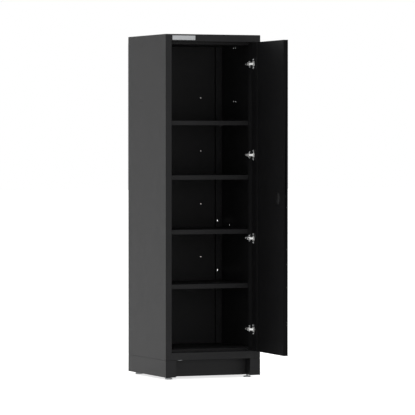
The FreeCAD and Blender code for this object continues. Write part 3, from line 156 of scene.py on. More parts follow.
def between(tree, factor, low, high, start=0.3, end=0.7):
    """A number that goes from low to high as the factor goes from start to end."""
    inputs = {"Value": factor, "From Min": start, "From Max": end, "To Min": low, "To Max": high}
    return add(tree, "MapRange", inputs).outputs["Result"]


def tint(tree, factor, light, shade):
    """A colour between the given one and a darker one, its shade times as bright."""
    dark = (*(channel * shade for channel in light[:3]), 1)
    inputs = {"Factor": factor, "A": dark, "B": light}
    return add(tree, "Mix", inputs, data_type="RGBA").outputs["Result"]


def relief(tree, height, depth, strength, normal=None):
    """A bump of the given depth in metres, over another one if given."""
    inputs = {"Height": height, "Distance": depth, "Strength": strength}
    if normal is not None:
        inputs["Normal"] = normal
    return add(tree, "Bump", inputs).outputs["Normal"]


def surface(tree, **inputs):
    """The principled shader on the output."""
    inputs = {name.replace("_", " "): value for name, value in inputs.items()}
    shader = add(tree, "BsdfPrincipled", inputs)
    add(tree, "OutputMaterial", {"Surface": shader.outputs["BSDF"]})


def powder_coat(name, light, shade, roughness, ior):
    """Sprayed and baked polyester powder on sheet steel.

    A satin black with a fine orange peel. Its tone drifts where the film is thicker, and faint
    handling marks change the gloss. The fine texture drains part of the resin's gloss, so the IOR
    is below the usual 1.5. The peel is drawn at 2.5 mm and deep, coarser than the real 1 mm, so that
    it shows.
    """
    material, tree, place = new_material(name)
    film = grain(tree, place, 160 * MM, roughness=0.55)
    marks = grain(tree, place, 45 * MM, detail=4.0, roughness=0.62)
    peel = grain(tree, place, bpy.context.scene.locker_sizes.peel, detail=2.0)
    wave = grain(tree, place, 12 * MM, detail=1.0)
    normal = relief(tree, peel, 0.8 * MM, 1.0, relief(tree, wave, 0.3 * MM, 0.6))
    surface(
        tree,
        Base_Color=tint(tree, between(tree, film, 0, 1), light, shade),
        Roughness=between(tree, marks, roughness - 0.01, roughness + 0.02),
        IOR=ior,
        Normal=normal,
    )
    return material


def plated_steel(name, light, shade, roughness):
    """Pressed steel plated in a barrel.

    Bright grey metal, with cloudy patches from the bath and fine drawing lines from the press.
    The lines are drawn at 0.6 mm, coarser than real, so that they show.
    """
    material, tree, place = new_material(name)
    clouds = grain(tree, place, 9 * MM)
    drawn = add(tree, "Mapping", {"Vector": place, "Scale": (1.0, 1.0, 0.06)}).outputs["Vector"]
    lines = grain(tree, drawn, 0.6 * MM, detail=2.0)
    surface(
        tree,
        Base_Color=tint(tree, clouds, light, shade),
        Metallic=1.0,
        Roughness=between(tree, clouds, roughness - 0.06, roughness + 0.1),
        Normal=relief(tree, lines, 0.01 * MM, 0.5),
    )
    return material


def satin_chrome(name, light, shade, roughness):
    """Die-cast zinc, bead blasted and chromed.

    Bright and even, with the soft edge that blasting gives a reflection.
    """
    material, tree, place = new_material(name)
    blast = grain(tree, place, 0.7 * MM, detail=2.0)
    surface(
        tree,
        Base_Color=tint(tree, grain(tree, place, 12 * MM), light, shade),
        Metallic=1.0,
        Roughness=between(tree, blast, roughness - 0.03, roughness + 0.06),
        Normal=relief(tree, blast, 0.008 * MM, 0.5),
    )
    return material


def brushed_aluminium(name, light, shade, roughness):
    """Anodised aluminium sheet, brushed along its length.

    A soft grey that streaks along X. The strokes are drawn at 0.5 mm, coarser than real, so that
    they show.
    """
    material, tree, place = new_material(name)
    drawn = add(tree, "Mapping", {"Vector": place, "Scale": (0.02, 1.0, 1.0)}).outputs["Vector"]
    strokes = grain(tree, drawn, 0.5 * MM, roughness=0.6)
    surface(
        tree,
        Base_Color=tint(tree, strokes, light, shade),
        Metallic=1.0,
        Roughness=between(tree, strokes, roughness - 0.05, roughness + 0.1),
        Normal=relief(tree, strokes, 0.01 * MM, 0.4),
    )
    return material


def moulded(name, light, shade, roughness, ior, pit):
    """Injection-moulded plastic or pressed rubber.

    An even colour under the fine pitted texture of the mould, and duller where it is pitted deeper.
    Soft PVC is so matt that its IOR is set below the usual 1.53.
    """
    material, tree, place = new_material(name)
    pits = grain(tree, place, pit, detail=2.0, roughness=0.6)
    surface(
        tree,
        Base_Color=tint(tree, grain(tree, place, 20 * MM), light, shade),
        Roughness=between(tree, pits, roughness - 0.05, roughness + 0.06),
        IOR=ior,
        Normal=relief(tree, pits, 0.02 * MM, 0.6),
    )
    return material


# Each slot's maker, common name, darkest tone against its colour and roughness. Then the IOR of one
# that isn't metal, and the size of a moulding's pits in metres.
FINISHES = {
    "carcass_coat": (powder_coat, "black satin powder coat", 0.82, 0.45, 1.245),
    # The door's coat is the cabinet's powder coat in a darker colour. The darkness is painted shade, for
    # the shade that the door's inside stands in.
    "door_coat": (powder_coat, "black satin powder coat on the door", 0.82, 0.41, 1.23),
    "zinc_steel": (plated_steel, "zinc plated steel", 0.65, 0.36),
    "nickel_steel": (plated_steel, "nickel plated steel", 0.77, 0.26),
    "chrome_lock": (satin_chrome, "satin chromed zinc", 0.73, 0.26),
    "black_moulding": (moulded, "black soft PVC", 0.64, 0.6, 1.11, 0.9 * MM),
    "rubber_buffer": (moulded, "black rubber", 0.59, 0.78, 1.5, 1.4 * MM),
    "grey_moulding": (moulded, "dark grey nylon", 0.69, 0.5, 1.53, 1.2 * MM),
    "plate_face": (brushed_aluminium, "brushed anodised aluminium", 0.65, 0.42),
}

# The materials made so far, by slot.
made = {}


def finish(slot):
    """The material of a slot, made once in the user's colour."""
    if slot not in made:
        maker, name, *values = FINISHES[slot]
        made[slot] = maker(name, getattr(bpy.context.scene.locker_colours, slot), *values)
    return made[slot]


# ---------------------------------------------------------------- outlines, in millimetres


def arc(centre, radii, start, end, steps):
    """Points on an ellipse from one angle to another, in degrees."""
    angles = [math.radians(start + (end - start) * step / steps) for step in range(steps + 1)]
    return [(centre[0] + radii[0] * math.cos(a), centre[1] + radii[1] * math.sin(a)) for a in angles]


def rectangle(x0, y0, x1, y1):
    """The corners of a rectangle, anticlockwise from the first."""
    return [(x0, y0), (x1, y0), (x1, y1), (x0, y1)]


def rounded(points, radius, steps=5):
    """An outline with its corners cut to curves of about the radius."""
    out = []
    for index, point in enumerate(points):
        corner = Vector(point)
        before = (Vector(points[index - 1]) - corner).normalized()
        after = (Vector(points[(index + 1) % len(points)]) - corner).normalized()
        reach = radius / math.tan(before.angle(after) / 2)
        start, end = corner + before * reach, corner + after * reach
        for step in range(steps + 1):
            t = step / steps
            out.append(tuple(start * (1 - t) ** 2 + corner * 2 * t * (1 - t) + end * t**2))
    return out


def stadium(length, width, waist=0.0, steps=8):
    """A round-ended outline along Y about the origin, drawn in by the waist at its middle."""
    radius, reach = width / 2, (length - width) / 2
    out = []
    for sign, start in ((1, 0), (-1, 180)):
        out += arc((0, sign * reach), (radius, radius), start, start + 180, steps)
        for step in range(1, steps):
            t = step / steps
            out.append((-sign * (radius - waist * math.sin(math.pi * t)), sign * reach * (1 - 2 * t)))
    return out


def cross(length, width):
    """The outline of a cross recess about the origin."""
    a, b = length / 2, width / 2
    out = [(a, -b), (a, b), (b, b), (b, a), (-b, a), (-b, b)]
    return out + [(-x, -y) for x, y in out]


# ---------------------------------------------------------------- parts, in millimetres


def turned(profile, steps):
    """A body turned about Z from (radius, height) points, closed at a radius of 0 or on itself."""
    part = bmesh.new()
    rings = []
    for radius, height in profile:
        points = [(x, y, height) for x, y in arc((0, 0), (radius, radius), 0, 360, steps)[:-1]]
        rings.append([part.verts.new(point) for point in (points if radius else points[:1])])
    for low, high in zip(rings, rings[1:]):
        for step in range(steps):
            after = step + 1
            corners = [low[step % len(low)], low[after % len(low)]]
            corners += [high[after % len(high)], high[step % len(high)]]
            corners = list(dict.fromkeys(corners))
            if len(corners) > 2:
                part.faces.new(corners)
    bmesh.ops.remove_doubles(part, verts=part.verts, dist=WELD)
    return part


def prism(outline, low, high):
    """A flat shape in X and Y, drawn out along Z."""
    part = bmesh.new()
    bottom = [part.verts.new((x, y, low)) for x, y in outline]
    top = [part.verts.new((x, y, high)) for x, y in outline]
    part.faces.new(bottom[::-1])
    part.faces.new(top)
    for index, corner in enumerate(bottom):
        after = (index + 1) % len(outline)
        part.faces.new([corner, bottom[after], top[after], top[index]])
    return part


def shifted(part, x, y, z=0.0):
    """The part itself, moved."""
    part.transform(Matrix.Translation((x, y, z)))
    return part


def mesh(name, part):
    """The mesh of a part, which is used up."""
    data = bpy.data.meshes.new(name)
    part.to_mesh(data)
    part.free()
    return data


def linked(name, data):
    """An object of the given data, in the scene."""
    item = bpy.data.objects.new(name, data)
    bpy.context.scene.collection.objects.link(item)
    return item


def merged(parts):
    """One part of several, which are used up."""
    out = bmesh.new()
    for part in parts:
        data = mesh("part", part)
        out.from_mesh(data)
        bpy.data.meshes.remove(data)
    return out


def placed(part, places):
    """Copies of a part drawn in millimetres, at places in metres; the part is used up."""
    copies = []
    for place in places:
        copy = part.copy()
        copy.transform(place @ Matrix.Scale(MM, 4))
        copies.append(copy)
    part.free()
    return merged(copies)


def carved(base, tool):
    """The base less the tool; both are used up."""
    items = []
    for part in (base, tool):
        bmesh.ops.recalc_face_normals(part, faces=part.faces)
        items.append(linked("carving", mesh("carving", part)))
    cut = items[0].modifiers.new("cut", "BOOLEAN")
    cut.object = items[1]
    cut.operation = "DIFFERENCE"
    cut.solver = "EXACT"
    out = bmesh.new()
    out.from_object(items[0], bpy.context.evaluated_depsgraph_get())
    for item in items:
        data = item.data
        bpy.data.objects.remove(item)
        bpy.data.meshes.remove(data)
    return out


def screw(radius, height):
    """A pan head with a cross recess, standing on Z 0."""
    profile = [(0, 0), (radius, 0), (radius, height * 0.4), (radius * 0.88, height * 0.78)]
    profile += [(radius * 0.6, height * 0.96), (0, height)]
    recess = prism(cross(radius * 1.15, radius * 0.34), height * 0.35, height * 1.4)
    return carved(turned(profile, 24), recess)


def soften(item, width):
    """Rounds an object's sharp edges, by a width in millimetres."""
    bevel = item.modifiers.new("edges", "BEVEL")
    bevel.width = width * MM
    bevel.segments = 2
    bevel.limit_method = "ANGLE"
    bevel.angle_limit = math.radians(SHARP)


def piece(name, part, slot, body, replaces=(), edge=0.0, sharp=SHARP):
    """Makes an object of a part in metres, finishes it and lets it ride on its body.

    Its edges are rounded by the given millimetres, and shaded sharp past the given degrees.
    """
    bmesh.ops.remove_doubles(part, verts=part.verts, dist=WELD * MM)
    bmesh.ops.recalc_face_normals(part, faces=part.faces)
    data = mesh(name, part)
    data.materials.append(finish(slot))
    data.shade_smooth()
    data.set_sharp_from_angle(angle=math.radians(sharp))
    item = linked(name, data)
    if edge:
        soften(item, edge)
    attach(item, body)
    if replaces:
        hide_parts(*replaces)


# ---------------------------------------------------------------- sizes


def distance(name, description, default):
    """A length that the user can change."""
    return bpy.props.FloatProperty(name=name, description=description, default=default, unit="LENGTH")


class LOCKER_PG_sizes(bpy.types.PropertyGroup):
    peel: distance("Orange peel", "Size of the powder coat's texture", 2.5 * MM)
    sheared_edge: distance("Sheared edge", "Rounding of the sheets' edges", 0.5 * MM)
    thread_pitch: distance("Thread pitch", "Rise of a foot's thread in a turn", 1.5 * MM)
    thread_depth: distance("Thread depth", "Depth of a foot's thread", 0.9 * MM)
    sole_ribs: bpy.props.IntProperty(
        name="Sole ribs", description="Grip ribs round a foot's sole", default=20
    )
    inner_link: distance("Inner link", "Distance of an inner link's pins", 38 * MM)
    outer_link: distance("Outer link", "Distance of an outer link's pins", 42 * MM)


def colour(name, description, code):
    """A colour that the user can change, given as an sRGB hex colour."""
    return bpy.props.FloatVectorProperty(
        name=name, description=description, default=linear(code), size=4, min=0, max=1, subtype="COLOR"
    )


class LOCKER_PG_colours(bpy.types.PropertyGroup):
    carcass_coat: colour("Cabinet", "Powder coat of the cabinet", "#1b1b1c")
    # Darker than the cabinet's colour: the same powder coat, with painted shade for the shade on the
    # door.
    door_coat: colour("Door", "Powder coat of the door, darkened as painted shade", "#101011")
    zinc_steel: colour("Zinc", "Plating of screws, rivets, clips and feet", "#c6c9cb")
    nickel_steel: colour("Nickel", "Plating of the hinges", "#dededd")
    chrome_lock: colour("Chrome", "Handle and key plug", "#abadb0")
    black_moulding: colour("Black trim", "Edge strip, lock cover and dish", "#101011")
    rubber_buffer: colour("Rubber", "Buffers that the door shuts against", "#151515")
    grey_moulding: colour("Soles", "Soles of the feet", "#3c3c3b")
    plate_face: colour("Name plate", "Brushed face of the name plate", "#adafb1")
    floor: colour("Floor", "Floor of the studio", "#e6e6e5")


class LOCKER_PG_studio(bpy.types.PropertyGroup):
    ambient: bpy.props.FloatProperty(
        name="Ambient", description="Strength of the studio's even light", default=0.72
    )
    top: bpy.props.FloatProperty(
        name="Top", description="Power of the soft light overhead", default=360.0, unit="POWER"
    )
    front: bpy.props.FloatProperty(
        name="Front", description="Power of the soft light at the front left", default=62.0, unit="POWER"
    )
    view_turn: bpy.props.FloatProperty(
        name="View turn",
        description="Turn of the camera's view from Y towards X",
        default=math.radians(22.735),
        unit="ROTATION",
    )
    view_dip: bpy.props.FloatProperty(
        name="View dip",
        description="Dip of the camera's view",
        default=math.radians(1.161),
        unit="ROTATION",
    )


# ---------------------------------------------------------------- operators


class LOCKER_OT_stage(bpy.types.Operator):
    """Makes the studio: floor, world, lamps and camera"""

    bl_idname = "locker.stage"
    bl_label = "Studio"

    def execute(self, context):
        studio = context.scene.locker_studio
        self.floor(context.scene.locker_colours.floor)
        self.world(context, studio.ambient)
        self.lamp("top light", studio.top, size=6.0, location=(-1.5, -2.2, 9.0))
        self.lamp("front light", studio.front, size=3.0, location=(-1.2, -6.3, 1.0))
        self.camera(context, studio.view_turn, studio.view_dip)
        context.scene.view_settings.view_transform = "Standard"
        return {"FINISHED"}

    def seen(self, tree):
        """1 for what the camera, a mirror or glass sees directly."""
        path = add(tree, "LightPath").outputs
        direct = path["Is Camera Ray"]
        for ray in ("Is Glossy Ray", "Is Transmission Ray"):
            direct = add(tree, "Math", {0: direct, 1: path[ray]}, operation="MAXIMUM").outputs[0]
        return direct

    def floor(self, light):
        """A pale matt floor that keeps the shadow and runs out into the white of the studio."""
        material, tree, place = new_material("pale studio floor")
        pale = tint(tree, grain(tree, place, 0.5, detail=2.0), light, 0.92)
        matt = add(tree, "BsdfDiffuse", {"Color": pale}).outputs[0]
        away = add(tree, "VectorMath", {0: place}, operation="LENGTH").outputs["Value"]
        white = between(tree, away, 0.75, 1.0, start=1.0, end=5.0)
        strength = add(tree, "Math", {0: self.seen(tree), 1: white}, operation="MULTIPLY").outputs[0]
        glow = add(tree, "Emission", {"Color": WHITE, "Strength": strength}).outputs[0]
        both = add(tree, "AddShader", {0: matt, 1: glow}).outputs[0]
        add(tree, "OutputMaterial", {"Surface": both})
        # In metres, and longest behind the object, where it meets the white of the world.
        edges = rectangle(-40, -30, 40, 70)
        part = bmesh.new()
        part.faces.new([part.verts.new((x, y, 0)) for x, y in edges])
        data = mesh("floor", part)
        data.materials.append(material)
        item = linked("floor", data)

    def world(self, context, ambient):
        """A white room that lights the object evenly."""
        world = bpy.data.worlds.new("studio")
        context.scene.world = world
        world.use_nodes = True
        tree = world.node_tree
        tree.nodes.clear()
        strength = between(tree, self.seen(tree), ambient, 1.0, start=0.0, end=1.0)
        shade = add(tree, "Background", {"Color": WHITE, "Strength": strength}).outputs[0]
        add(tree, "OutputWorld", {"Surface": shade})

    def lamp(self, name, power, size, location):
        """A large soft box that faces the object's middle, a metre up."""
        data = bpy.data.lights.new(name, "AREA")
        data.size = size
        data.energy = power
        lamp = linked(name, data)
        lamp.location = location
        lamp.rotation_euler = (UP - lamp.location).to_track_quat("-Z", "Y").to_euler()
        lamp.visible_camera = False

    def camera(self, context, turn, dip):
        """A long lens at the front left, a little above the object's middle."""
        data = bpy.data.cameras.new("camera")
        data.sensor_fit = "HORIZONTAL"
        data.sensor_width = 36
        data.lens = 273.1
        data.clip_end = 200
        camera = linked("camera", data)
        camera.location = (-7.147, -17.268, 1.377)
        aim = Vector((math.sin(turn) * math.cos(dip), math.cos(turn) * math.cos(dip), -math.sin(dip)))
        camera.rotation_euler = aim.to_track_quat("-Z", "Y").to_euler()
        context.scene.camera = camera


class LOCKER_OT_sheets(bpy.types.Operator):
    """Finishes the CAD pieces and rounds their sheared edges"""

    bl_idname = "locker.sheets"
    bl_label = "Sheets"

    def execute(self, context):
        edge = context.scene.locker_sizes.sheared_edge / MM
        for node, item in frame["nodes"].items():
            item.data.materials.clear()
            item.data.materials.append(finish(SLOTS[node]))
            weld = item.modifiers.new("weld", "WELD")
            weld.merge_threshold = 0.001 * MM
            # Flat triangles become whole faces, so that rounding the edges of a hole turns none over.
            flat = item.modifiers.new("flat faces", "DECIMATE")
            flat.decimate_type = "DISSOLVE"
            flat.angle_limit = math.radians(0.5)
            soften(item, edge)
            item.modifiers.new("shading", "WEIGHTED_NORMAL")
        return {"FINISHED"}


class LOCKER_OT_name_plate(bpy.types.Operator):
    """Makes the bare name plate, with its raised border and drive pins"""

    bl_idname = "locker.name_plate"
    bl_label = "Name plate"

    def execute(self, context):
        low, high = extent("name_plate")
        width, sheet, height = (high - low) / MM
        w, h, border = width / 2, height / 2, 1.6
        plate = prism(rounded(rectangle(-w, -h, w, h), 3), 0, sheet)
        field = rounded(rectangle(border - w, border - h, w - border, h - border), 2)
        plate = carved(plate, prism(field, sheet - 0.5, sheet + 1))
        pin = [(0, 0), (1.3, 0), (1.2, 0.35), (0.7, 0.5), (0, 0.55)]
        pins = [shifted(turned(pin, 16), x, 0, sheet - 0.55) for x in (6 - w, w - 6)]
        front = facing(((low.x + high.x) / 2, high.y, (low.z + high.z) / 2), FRONT)
        whole = placed(merged([plate, *pins]), [front])
        piece("name_plate_face", whole, SLOTS["name_plate"], "carcass", ["name_plate"], edge=0.2)
        return {"FINISHED"}


class LOCKER_OT_feet(bpy.types.Operator):
    """Makes the levelling feet: ribbed soles, plated cups and threaded studs"""

    bl_idname = "locker.feet"
    bl_label = "Levelling feet"

    def execute(self, context):
        sizes = context.scene.locker_sizes
        for corner in ("front_left", "front_right", "rear_left", "rear_right"):
            self.pad(corner, sizes.sole_ribs)
            self.stud(corner, sizes)
        return {"FINISHED"}

    def pad(self, corner, ribs):
        """A ribbed sole under a plated cup that the stud stands in."""
        node = f"foot_pad_{corner}"
        low, high = extent(node)
        radius, top = (high.x - low.x) / 2 / MM, high.z / MM
        rim, sole, seat = radius - 0.4, top * 0.4, 5.2
        # The ribs stand out past the rim, all but to the pad's full radius.
        parts = [turned([(0, 0), (radius - 1.5, 0), (rim, 0.6), (rim, sole), (0, sole)], 48)]
        for rib in range(ribs):
            part = prism(rectangle(rim - 1, -1.2, radius - 0.05, 1.2), 0.8, sole - 0.3)
            part.transform(Matrix.Rotation(2 * math.pi * rib / ribs, 4, "Z"))
            parts.append(part)
        centre = Matrix.Translation(((low.x + high.x) / 2, (low.y + high.y) / 2, 0))
        foot = f"foot_{corner}"
        whole = placed(merged(parts), [centre])
        piece(f"ribbed_sole_{corner}", whole, SLOTS[node], foot, [node], edge=0.25)
        profile = [(0, sole), (rim, sole), (rim - 0.2, top - 1.8), (rim - 1.4, top - 0.8)]
        profile += [(12, top - 0.4), (9.5, top - 1.3), (8.5, top), (seat, top)]
        profile += [(seat, top - 3), (0, top - 3)]
        cup = placed(turned(profile, 48), [centre])
        piece(f"plated_cup_{corner}", cup, "zinc_steel", foot, edge=0.25)

    def stud(self, corner, sizes):
        """A rod whose surface follows a thread, with a blunt end."""
        node = f"foot_stud_{corner}"
        low, high = extent(node)
        radius, height = (high.x - low.x) / 2, high.z - low.z
        pitch, depth = sizes.thread_pitch, sizes.thread_depth
        steps, rows_a_turn = 16, 5
        rows = int(height / pitch * rows_a_turn)
        part = bmesh.new()
        rings = []
        for row in range(rows + 1):
            rise = height * row / rows
            blunt = max(0, depth - (height - rise))
            ring = []
            for step in range(steps):
                flank = abs(((rise / pitch - step / steps) % 1) * 2 - 1)
                reach = radius - depth * flank - blunt
                angle = 2 * math.pi * step / steps
                ring.append(part.verts.new((reach * math.cos(angle), reach * math.sin(angle), rise)))
            rings.append(ring)
        for below, above in zip(rings, rings[1:]):
            for step in range(steps):
                after = (step + 1) % steps
                part.faces.new([below[step], below[after], above[after], above[step]])
        part.faces.new(rings[0][::-1])
        part.faces.new(rings[-1])
        part.transform(Matrix.Translation(((low.x + high.x) / 2, (low.y + high.y) / 2, low.z)))
        piece(f"threaded_stud_{corner}", part, SLOTS[node], f"foot_{corner}", [node], sharp=50)


class LOCKER_OT_hinges(bpy.types.Operator):
    """Makes the four concealed hinges: plates, arms, links, cups and their screws"""

    bl_idname = "locker.hinges"
    bl_label = "Hinges"

    def execute(self, context):
        sizes = context.scene.locker_sizes
        rows = levels("hinge_plates")
        inner = Vector(JOINTS["inner_link_turn"]["pos_m"])
        outer = Vector(JOINTS["outer_link_turn"]["pos_m"])
        knee = self.knee(inner, outer, sizes.inner_link, sizes.outer_link)
        self.plates(rows)
        self.arms(rows, inner)
        self.inner_links(rows, inner, knee)
        self.outer_links(rows, outer, knee)
        self.cups(rows)
        return {"FINISHED"}

    def knee(self, inner, outer, first, second):
        """Where the links of a hinge meet, on the side away from the reveal."""
        line = outer - inner
        line.z = 0
        along = (line.length**2 + first**2 - second**2) / (2 * line.length)
        aside = math.sqrt(first**2 - along**2)
        line.normalize()
        return inner + line * along + Vector((line.y, -line.x, 0)) * aside

    def plates(self, rows):
        """Winged plates on the reveal, each with a tongue for the arm and two screws."""
        low, high = extent("hinge_plates", level=rows[0])
        sheet, wide = ((high - low) / MM)[:2]
        places = [facing((high.x, (low.y + high.y) / 2, row), LEFT) for row in rows]
        low, high = extent("hinge_plate_screws", level=rows[0])
        radius = (high.y - low.y) / 2 / MM
        reach = (high.z - low.z) / 2 / MM - radius
        wings = rounded(rectangle(-7, -reach - 5.4, 7, reach + 5.4), 6.5)
        body = rounded(rectangle(-wide / 2, -9.5, wide / 2, 9.5), 3)
        tongue = rounded(rectangle(4 - wide / 2, -5, wide / 2 - 4, 5), 2)
        plate = merged([
            prism(wings, 0, sheet * 0.62),
            prism(body, 0, sheet),
            prism(tongue, sheet - 0.2, sheet + 0.9),
        ])
        whole = placed(plate, places)
        piece("winged_plates", whole, "nickel_steel", "carcass", ["hinge_plates"], edge=0.5)
        parts = []
        for y in (-reach, reach):
            parts.append(shifted(turned([(0, 0), (4.4, 0), (4.1, sheet), (0, sheet)], 24), 0, y))
            parts.append(shifted(screw(radius, 2), 0, y, sheet))
        whole = placed(merged(parts), places)
        piece("plate_screws", whole, "zinc_steel", "carcass", ["hinge_plate_screws"])

    def arms(self, rows, inner):
        """Pressed arms that ride on the plates, with a forked nose and two adjusting screws."""
        low, high = extent("hinge_arms", level=rows[0])
        half = (high.z - low.z) / 2 / MM
        rear, neck, crown = (inner.y - high.y) / MM, -9.0, 12.0
        pin = (high.x - inner.x) / MM
        # Drawn from the side about the nose's pin: X to the front, Y off the reveal.
        side = [(rear, 0), (neck, 0), (neck - 3, crown), (neck - 16, crown - 1)]
        side += [(rear + 7, crown - 2), (rear, 5.5)]
        nose = [(neck - 6, 3), (neck - 2, 3), *arc((0, pin), (5, 5), -110, 110, 12)]
        nose += [(neck - 2, crown - 1), (neck - 6, crown - 1)]
        fork = prism(rectangle(neck + 0.6, -2, 8, 30), -1.7, 1.7)
        hollow = rounded(rectangle(rear + 6, -1, neck - 6, crown - 5.5), 1.5)
        wall = 1.4
        arm = merged([
            carved(prism(rounded(side, 1.4, 3), -half, half), prism(hollow, wall - half, half - wall)),
            carved(prism(nose, -3.7, 3.7), fork),
        ])
        arm.transform(Matrix.Rotation(math.pi / 2, 4, "X"))
        parts = [arm]
        for x, radius, seat in ((rear + 17, 4.6, crown - 1.8), (neck - 9, 3.4, crown - 0.7)):
            washer = [(0, -1), (radius + 1, -1), (radius + 1, 0), (radius + 0.6, 0.3), (0, 0.3)]
            parts.append(shifted(turned(washer, 24), x, 0, seat))
            parts.append(shifted(screw(radius, 1.6), x, 0, seat + 0.2))
        places = [facing((high.x, inner.y, row), LEFT) for row in rows]
        whole = placed(merged(parts), places)
        piece("pressed_arms", whole, "nickel_steel", "carcass", ["hinge_arms"], edge=0.6)

    def along(self, rows, start, knee):
        """Places whose Y runs from the start to the knee, with their origin halfway."""
        line = knee - start
        turn = Matrix.Rotation(math.atan2(line.y, line.x) - math.pi / 2, 4, "Z")
        centre = (start + knee) / 2
        return [Matrix.Translation((centre.x, centre.y, row)) @ turn for row in rows]

    def inner_links(self, rows, start, knee):
        """Waisted flat links in the forks of the arms."""
        link = prism(stadium((knee - start).length / MM + 6, 6, 0.8), -1.3, 1.3)
        whole = placed(link, self.along(rows, start, knee))
        piece("waisted_links", whole, "nickel_steel", "inner_links", ["hinge_inner_links"], edge=0.3)

    def outer_links(self, rows, start, knee):
        """Links of a folded channel: two waisted cheeks, a web and the riveted ends of the pins."""
        length = (knee - start).length / MM
        cheek = stadium(length + 6, 6, 0.6)
        inside, outside, head = 4.4, 6.2, 6.5
        parts = [prism(cheek, low, high) for low, high in ((-outside, -inside), (inside, outside))]
        # The web ends two thirds of the way, because the inner link folds in beyond it.
        parts.append(prism(rectangle(1.2, 3 - length / 2, 2.5, 7), -5, 5))
        for y in (-length / 2, length / 2):
            for low, high in ((-head, -inside), (inside, head)):
                rivet = [(0, low), (1.7, low), (1.7, high), (0, high)]
                parts.append(shifted(turned(rivet, 16), 0, y))
        whole = placed(merged(parts), self.along(rows, start, knee))
        piece("channel_links", whole, "nickel_steel", "outer_links", ["hinge_outer_links"], edge=0.3)

    def cups(self, rows):
        """Pressed cups in the door, each with a notch for the links, a flange and two screws."""
        low, high = extent("hinge_cups", DOOR, rows[0])
        face = extent("door_hinge_strip", DOOR)[1].y
        flange, depth, tall = (high.y - face) / MM, (face - low.y) / MM, (high.z - low.z) / MM
        low, high = extent("cup_screws", DOOR, rows[0])
        radius = (high.x - low.x) / 2 / MM
        reach = (high.z - low.z) / 2 / MM - radius
        bore, wall = 17.5, 1.6
        inside, lip = bore - wall, bore + 2.4
        profile = [(0, -depth), (bore - 1.5, -depth), (bore, 2 - depth), (bore, 0), (lip, 0)]
        profile += [(lip, flange - 0.6), (lip - 0.6, flange), (bore - 0.6, flange), (inside, flange - 1)]
        profile += [(inside, 3 - depth), (inside - 1.4, wall - depth), (0, wall - depth)]
        mouth = turned([(0, -1), (bore - 0.8, -1), (bore - 0.8, 3), (0, 3)], 40)
        notch = prism(rectangle(-bore - 4, -7.5, 4 - bore, 7.5), -7, flange + 1)
        cup = merged([
            carved(turned(profile, 48), notch),
            carved(prism(stadium(tall, 17), 0, flange), mouth),
        ])
        x = (low.x + high.x) / 2
        places = [DOOR @ facing((x, face, row), BACK) for row in rows]
        whole = placed(cup, places)
        piece("pressed_cups", whole, "nickel_steel", "door", ["hinge_cups"], edge=0.3)
        heads = merged([shifted(screw(radius, 2), 0, y, flange) for y in (-reach, reach)])
        piece("flange_screws", placed(heads, places), "zinc_steel", "door", ["cup_screws"])


